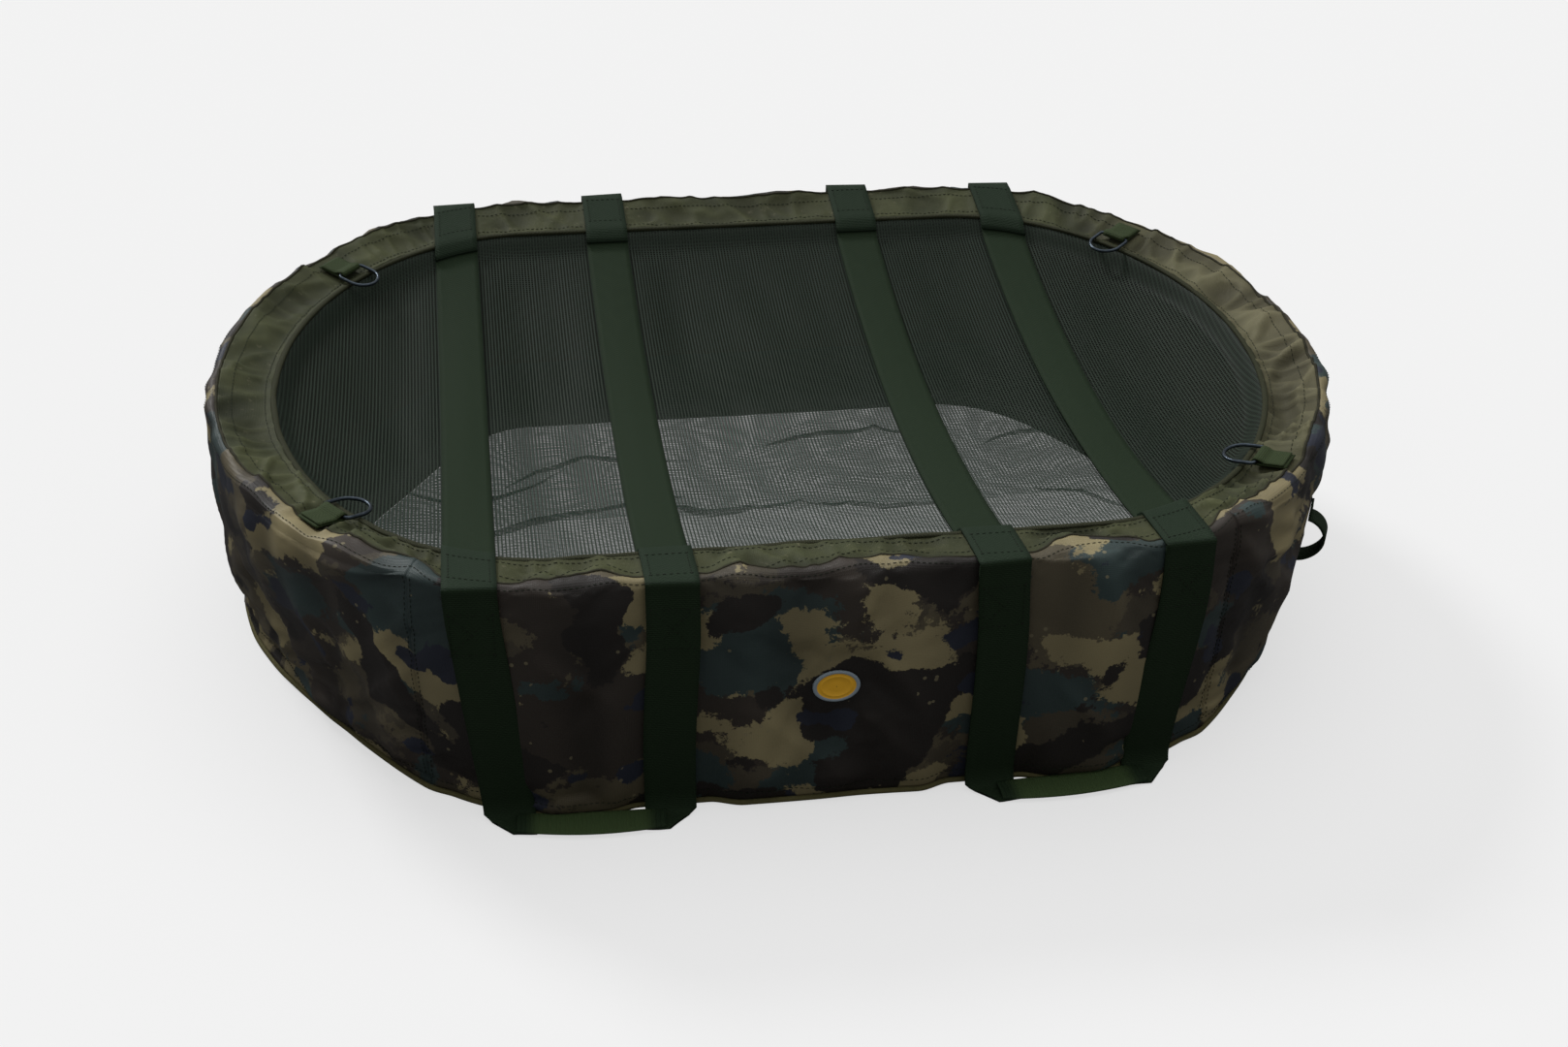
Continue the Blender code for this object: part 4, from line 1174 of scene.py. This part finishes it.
def leg(name, side, xs, middle, outer, lean):
    """One leg of a handle. outer is the side of its folded corner, and lean its way in below."""
    n, z, length = [part[:, None] for part in leg_path()]
    half = WEBBING / 2
    cut = np.clip(length - (length[-1] - GRIP), 0, GRIP)
    across = np.linspace(-half, half, TAPE_COLUMNS)[None, :]
    edge = np.minimum(across, half - cut) if outer > 0 else np.maximum(across, cut - half)
    sway = LEG_SWAY * np.sin(length * SWAY_WAVES[0] + middle * SWAY_WAVES[1]) * smooth(length / SWAY_FADE)
    u = middle + edge + sway - outer * lean * smooth(length / length[-1])
    curl = LEG_CURL * np.sin(u * CURL_WAVES) * smooth(length / CURL_FADE)
    return ribbon(name, handle_points(side, xs, u, n + curl, z), TAPE)


def round_off(wave, power):
    """A sine or cosine with fuller or leaner shoulders."""
    return np.sign(wave) * np.abs(wave) ** power


def grip(name, side, xs, first, last):
    """The folded, flattened tube of webbing between a handle's legs."""
    u = np.linspace(first, last, 60)[:, None]
    bow = np.sin(pi * (u - first) / (last - first))
    a = np.linspace(0, 2 * pi, 21)[None, :]
    wide, tall = round_off(np.cos(a), GRIP_SQUARE[0]), round_off(np.sin(a), GRIP_SQUARE[1])
    out = HANDLE_END - GRIP / 2 + GRIP_BOW * bow + (GRIP / 2 + GRIP_SWELL * bow) * wide
    lift = HANDLE_FLOOR + GRIP_LIFT + GRIP_RISE * bow + GRIP_THICK * tall
    # Painted light on the grip's bowed-out middle, which stands out of the wall's shade.
    light_share = GRIP_PAINTED_LIGHT * smooth((bow - GRIP_LIT_SPAN[0]) / GRIP_LIT_SPAN[1])
    return ribbon(name, handle_points(side, xs, u, out, lift), TAPE, 0.0, light_share)


def make_handle(name, side, pair):
    """Two legs and a grip as one piece."""
    xs, (lean_first, lean_last) = PAIRS[pair], LEG_LEAN[pair]
    span, inner = handle_frame(side, xs)[3], WEBBING / 2 - GRIP_UNDER
    legs = ((0.0, -1, lean_first), (span, 1, lean_last))
    pieces = [leg(f"{name}_leg", side, xs, *place) for place in legs]
    pieces.append(grip(f"{name}_grip", side, xs, inner + lean_first, span - inner - lean_last))
    return join(f"carry_{name}", pieces)


for side, sign in SIDES.items():
    for pair in PAIRS:
        node = f"handle_{side}_{pair}"
        settle(make_handle(f"{side}_{pair}", sign, pair), [node], node)
print("handles made")

# %% [markdown]
# ## D-rings, end loop and badge
# The rings are bent wire, held in short folded tabs on the rim. A small loop of webbing is sewn
# on the right end. The oval badge is moulded rubber, with a raised border and a bare middle.

# %% Rings and tabs
RING_WIRE, RING_INSIDE, RING_DROP, RING_INSET, RING_CORNER = 0.004, 0.034, 0.018, 0.012, 0.005
TAB_WIDE, TAB_THICK, TAB_LONG, TAB_CLEAR, TAB_LIFT = 0.030, 0.0015, 0.032, 0.0004, 0.0008
TAB_TURN, TAB_FOLD, TAB_SHORT, TAB_BACK, TAB_CLOSE = radians(105), 0.0006, 0.004, 0.001, 0.35


def ring_seat(sx, sy):
    """Middle of a ring's bar on the rim, with the ways in, along the bar and up."""
    way = Vector((RADIUS_Y * cos(RING_ANGLE), RADIUS_X * sin(RING_ANGLE), 0.0)).normalized()
    inward = Vector((-way.x * sx, -way.y * sy, -RIM_DISH / WALL)).normalized()
    line = Vector((-inward.y, inward.x, 0.0)).normalized()
    up = inward.cross(line)
    edge = Vector((sx * (STRAIGHT / 2 + RADIUS_X * cos(RING_ANGLE)), sy * RADIUS_Y * sin(RING_ANGLE), HEIGHT))
    seat = edge + inward * (WALL - RING_INSET) + up * (TAB_LIFT + TAB_THICK + RING_WIRE / 2)
    return seat, inward, line, up


def ring_piece(name, sx, sy):
    """A D of bent wire: a straight bar with round corners, and a half circle."""
    seat, inward, line, _ = ring_seat(sx, sy)
    half, corner = (RING_INSIDE + RING_WIRE) / 2, RING_CORNER
    path = [(u, 0.0) for u in np.linspace(-half + corner, half - corner, 12)]
    path += [(half - corner * (1 - sin(a)), corner * (1 - cos(a))) for a in np.linspace(0.2, pi / 2, 6)]
    path += [(half * cos(a), RING_DROP + half * sin(a)) for a in np.linspace(0, pi, 40)]
    path += [(-half + corner * (1 - cos(a)), corner * (1 - sin(a))) for a in np.linspace(0, pi / 2 - 0.2, 6)]
    return tube(name, np.array([seat + line * u + inward * v for u, v in path]), RING_WIRE / 2, METAL, 12)


def tab_piece(name, sx, sy):
    """A short tape that goes round the ring's bar and is sewn down on itself."""
    seat, inward, line, up = ring_seat(sx, sy)
    round_bar = RING_WIRE / 2 + TAB_CLEAR + TAB_THICK / 2
    path = [(n, -round_bar) for n in np.linspace(-TAB_LONG, 0, 10)]
    path += [(round_bar * cos(a), round_bar * sin(a)) for a in np.linspace(-pi / 2 + 0.2, TAB_TURN, 12)]
    upper = -round_bar + TAB_THICK + TAB_FOLD
    for t in np.linspace(0.15, 1.0, 14):
        drop = smooth(t / TAB_CLOSE)
        path.append((-TAB_BACK - (TAB_LONG - TAB_SHORT) * t, round_bar * (1 - drop) + upper * drop))
    across = np.linspace(-TAB_WIDE / 2, TAB_WIDE / 2, 7)
    rows = np.array([[seat + line * u + inward * n + up * z for u in across] for n, z in path])
    return ribbon(name, rows, TAB_TAPE, TAB_THICK)


for corner, (sx, sy) in CORNERS.items():
    node = f"ground_ring_{corner}"
    settle(ring_piece(f"ring_{corner}", sx, sy), [node], node)
    settle(tab_piece(f"tab_{corner}", sx, sy), [f"ring_tab_{corner}"])
print("rings and tabs:", len(CORNERS))


# %% End loop and badge
LOOP_SEWN = (0.014, 0.006)
BADGE_SEAT, BADGE_OCHRE, BADGE_SLATE, BADGE_BORDER = 0.0010, "#FFC02C", "#93A1AB", 0.83
BADGE_LEVELS = (  # share of the badge's size, and height
    (1.0, 0.0), (1.0, 0.0016), (0.97, 0.0022), (0.86, 0.0022), (0.82, 0.0014), (0.70, 0.0015),
    (0.67, 0.0019), (0.62, 0.0019), (0.59, 0.0015), (0.30, 0.0017), (0.02, 0.0017),
)


def skin_point(s, z, out):
    """Points on the cover at lengths s along the rim and a height z, moved straight out."""
    level = (z - WALL_LOW) / (EDGE_LOW - WALL_LOW) * WALL_STEPS
    low, column = int(level), np.round(np.asarray(s) / ROUND * COLUMNS).astype(int) % COLUMNS
    on_cover = SKIN[low, column] * (low + 1 - level) + SKIN[low + 1, column] * (level - low)
    return on_cover + outward(s) * out


def end_loop():
    """A small loop of webbing on the right end, sewn down above and below."""
    tall, turns = (LOOP_HIGH - LOOP_LOW) / 2, np.linspace(0.02, pi - 0.02, 30)
    path = [(0.0, LOOP_HIGH + far) for far in LOOP_SEWN]
    path += [(LOOP_REACH * sin(a) ** 1.2, LOOP_MIDDLE + tall * cos(a)) for a in turns]
    path += [(0.0, LOOP_LOW - far) for far in LOOP_SEWN[::-1]]
    across = LOOP_S + np.linspace(-LOOP_WIDE / 2, LOOP_WIDE / 2, 7)
    rows = [skin_point(across, z, off + LOOP_SEAT) for off, z in path]
    return ribbon("side_loop", np.array(rows), TAPE)


settle(end_loop(), ["end_loop"])


def badge_piece():
    """A bare oval badge: a raised slate border round an ochre middle with one plain ridge."""
    material, tree, shader = plain("badge_rubber", BADGE_OCHRE, 0.4, shine=0.5)
    uv = add(tree, "ShaderNodeUVMap", uv_map="metres").outputs[0]
    far = add(tree, "ShaderNodeVectorMath", {0: uv}, operation="LENGTH").outputs[1]
    border = step(tree, far, BADGE_BORDER, 0.01)
    look = blend_colours(tree, border, colour(BADGE_OCHRE), colour(BADGE_SLATE))
    tree.links.new(look, shader.inputs["Base Color"])
    turns = -np.linspace(0, 2 * pi, 65)[None, :]
    share, lift = [np.array(part)[:, None] for part in zip(*BADGE_LEVELS)]
    u, w = share * np.cos(turns), share * np.sin(turns)
    x, z = BADGE_X + BADGE_WIDE / 2 * u, BADGE_Z + BADGE_TALL / 2 * w
    points = np.stack(np.broadcast_arrays(x, -RADIUS_Y - CROWN - BADGE_SEAT - lift, z), axis=-1)
    return grid("oval_badge", points, material, pair_up(u, w), True)


settle(badge_piece(), ["badge"])
print("end loop and badge made")


# %% [markdown]
# ## Stitches
# Geometry Nodes sets one thread stitch after another along the seam lines: the line becomes a
# curve, the curve is resampled at the stitch pitch, and a small thread is put on each point.

# %% Stitch tool
def stitch_group():
    """A node tree that sews a thread along the edges of a mesh."""
    group = bpy.data.node_groups.new("stitches", "GeometryNodeTree")
    for name, kind in (("Geometry", "Geometry"), ("Pitch", "Float"), ("Size", "Vector")):
        group.interface.new_socket(name, in_out="INPUT", socket_type=f"NodeSocket{kind}")
    group.interface.new_socket("Geometry", in_out="OUTPUT", socket_type="NodeSocketGeometry")
    given = add(group, "NodeGroupInput").outputs
    line = add(group, "GeometryNodeMeshToCurve", {"Mesh": given["Geometry"]}).outputs[0]
    points = add(group, "GeometryNodeResampleCurve", {"Curve": line, "Length": given["Pitch"]}, mode="LENGTH")
    thread = add(group, "GeometryNodeMeshIcoSphere", {"Radius": 0.5, "Subdivisions": 1})
    tangent = add(group, "GeometryNodeInputTangent")
    turn = add(group, "FunctionNodeAlignRotationToVector", {"Vector": tangent.outputs[0]}, axis="X")
    places = {"Points": points.outputs[0], "Instance": thread.outputs[0]}
    put = add(group, "GeometryNodeInstanceOnPoints", {**places, "Rotation": turn.outputs[0],
                                                      "Scale": given["Size"]})
    real = add(group, "GeometryNodeRealizeInstances", {"Geometry": put.outputs[0]})
    dressed = add(group, "GeometryNodeSetMaterial", {"Geometry": real.outputs[0], "Material": THREAD})
    add(group, "NodeGroupOutput", {0: dressed.outputs[0]})
    return group


STITCHES = stitch_group()
SOCKETS = {item.name: item.identifier for item in STITCHES.interface.items_tree if item.in_out == "INPUT"}
STITCH_PITCH, STITCH_SIZE, STITCH_LIFT = 0.0055, (0.0042, 0.0009, 0.0007), 0.0005


def stitch(name, lines, body="cradle"):
    """Thread along lines of points."""
    points, edges = [], []
    for line in lines:
        first = len(points)
        points += [tuple(p) for p in line]
        edges += [(first + i, first + i + 1) for i in range(len(line) - 1)]
    mesh = bpy.data.meshes.new(name)
    mesh.from_pydata(points, edges, [])
    piece = bpy.data.objects.new(name, mesh)
    bpy.context.scene.collection.objects.link(piece)
    nodes = piece.modifiers.new("stitches", "NODES")
    nodes.node_group = STITCHES
    nodes[SOCKETS["Pitch"]] = STITCH_PITCH
    nodes[SOCKETS["Size"]] = STITCH_SIZE
    bake(piece)
    return settle(piece, (), body)


# %% Seam stitches
SEAM_LEVELS = (SEAM_ROW + 4.8, LAST_ROW - 2.4, SEAM_ROW - 5.2, 3.2)
RIM_FIRST, RIM_LAST = 6, 18
PATCH, PATCH_HALF, PATCH_LIFT = slice(7, 19), 0.020, 0.0016


def upright(place, shift):
    """A line up the wall beside a panel seam."""
    column = int(round(place / ROUND * COLUMNS)) + shift
    return SKIN[4:WALL_STEPS - 2, column % COLUMNS] + outward(RIM_S[column % COLUMNS]) * STITCH_LIFT


seams = [skin_line(level, STITCH_LIFT) for level in SEAM_LEVELS]
seams += [upright(place, shift) for place in PANEL_SEAMS for shift in (-1, 1)]
stitch("seam_stitches", seams)

rim_lines = []
for sign in SIDES.values():
    for x in STRAP_X:
        rows = rim_rows(x, sign) + np.array([0, 0, WEBBING_THICK / 2 + STITCH_LIFT])
        rim_lines += [rows[RIM_FIRST:RIM_LAST + 1, edge] for edge in (1, -2)]
        rim_lines += [rows[end, 1:-1] for end in (RIM_FIRST, RIM_LAST)]
stitch("rim_stitches", rim_lines)


def box_and_cross(points):
    """A box with a cross, on a patch of ribbon rows."""
    a, b, c, d = points[0, 0], points[0, -1], points[-1, -1], points[-1, 0]
    lines = [np.linspace(p, r, 12) for p, r in ((a, b), (c, d), (a, c), (b, d))]
    return lines + [points[:, 0], points[:, -1]]


for side, sign in SIDES.items():
    for pair, xs in PAIRS.items():
        n, z, _ = [part[PATCH, None] for part in leg_path()]
        lines = []
        for middle in (0.0, handle_frame(sign, xs)[3]):
            u = middle + np.linspace(-PATCH_HALF, PATCH_HALF, 7)[None, :]
            lines += box_and_cross(handle_points(sign, xs, u, n + PATCH_LIFT, z))
        stitch(f"stitches_{side}_{pair}", lines, f"handle_{side}_{pair}")

# %% [markdown]
# ## Studio
# A plain pale floor, a broad soft light from above, a firmer one from behind on the left, and a
# camera at the photo's angle. The floor glows a little for the camera alone, so that the shadow
# stays soft, and it reflects less to the object, so that the walls stay in shade.

# %% Studio
scene = bpy.context.scene
scene.view_settings.view_transform = "Standard"
FLOOR_SIZE, FLOOR_DROP, FLOOR_GLOW, FLOOR_SEEN, FLOOR_FILL = 12.0, 0.0008, 0.62, "#909090", "#6A6A6A"
WORLD_FILL, WORLD_SEEN = 0.30, 0.90
LAMPS = {"overhead": (1.15, 60, (-12, 4, 0)), "from_behind": (1.65, 14, (-42, -36, 0))}
WHITE = (1, 1, 1, 1)


def pale_floor():
    """The ground, paler for the camera than for the object."""
    material, tree, shader = plain("pale_floor", FLOOR_SEEN, 1.0, shine=0.0)
    seen = add(tree, "ShaderNodeLightPath").outputs["Is Camera Ray"]
    look = blend_colours(tree, seen, colour(FLOOR_FILL), colour(FLOOR_SEEN))
    tree.links.new(look, shader.inputs["Base Color"])
    tree.links.new(calc(tree, "MULTIPLY", seen, FLOOR_GLOW), shader.inputs["Emission Strength"])
    shader.inputs["Emission Color"].default_value = WHITE
    corners = [(x * FLOOR_SIZE, y * FLOOR_SIZE, -FLOOR_DROP) for x, y in ((-1, -1), (1, -1), (1, 1), (-1, 1))]
    return new_object("studio_floor", corners, [(0, 1, 2, 3)], material)


pale_floor()
world = bpy.data.worlds.new("studio")
scene.world = world
world.use_nodes = True
sky = world.node_tree.nodes["Background"]
seen = add(world.node_tree, "ShaderNodeLightPath").outputs["Is Camera Ray"]
strength = add(world.node_tree, "ShaderNodeMapRange", {"Value": seen, "To Min": WORLD_FILL,
                                                       "To Max": WORLD_SEEN}).outputs["Result"]
world.node_tree.links.new(strength, sky.inputs["Strength"])
sky.inputs["Color"].default_value = WHITE

for name, (power, spread, turned) in LAMPS.items():
    sun = bpy.data.lights.new(name, "SUN")
    sun.energy, sun.angle = power, radians(spread)
    lamp = bpy.data.objects.new(name, sun)
    lamp.rotation_euler = [radians(a) for a in turned]
    scene.collection.objects.link(lamp)

CAMERA_PLACE, LENS, SENSOR = Vector((-0.308, -1.984, 1.335)), 47.7, 36.0
YAW, PITCH, TILT = radians(9.29), radians(32.74), radians(1.46)
forward = Vector((sin(YAW) * cos(PITCH), cos(YAW) * cos(PITCH), -sin(PITCH)))
level = Vector((cos(YAW), -sin(YAW), 0))
right = cos(TILT) * level + sin(TILT) * level.cross(forward)
turn = Matrix((right, right.cross(forward), -forward)).transposed().to_4x4()
camera = bpy.data.objects.new("camera", bpy.data.cameras.new("camera"))
camera.data.lens, camera.data.sensor_width = LENS, SENSOR
camera.matrix_world = Matrix.Translation(CAMERA_PLACE) @ turn
scene.collection.objects.link(camera)
scene.camera = camera
print("camera at", [round(c, 3) for c in CAMERA_PLACE])
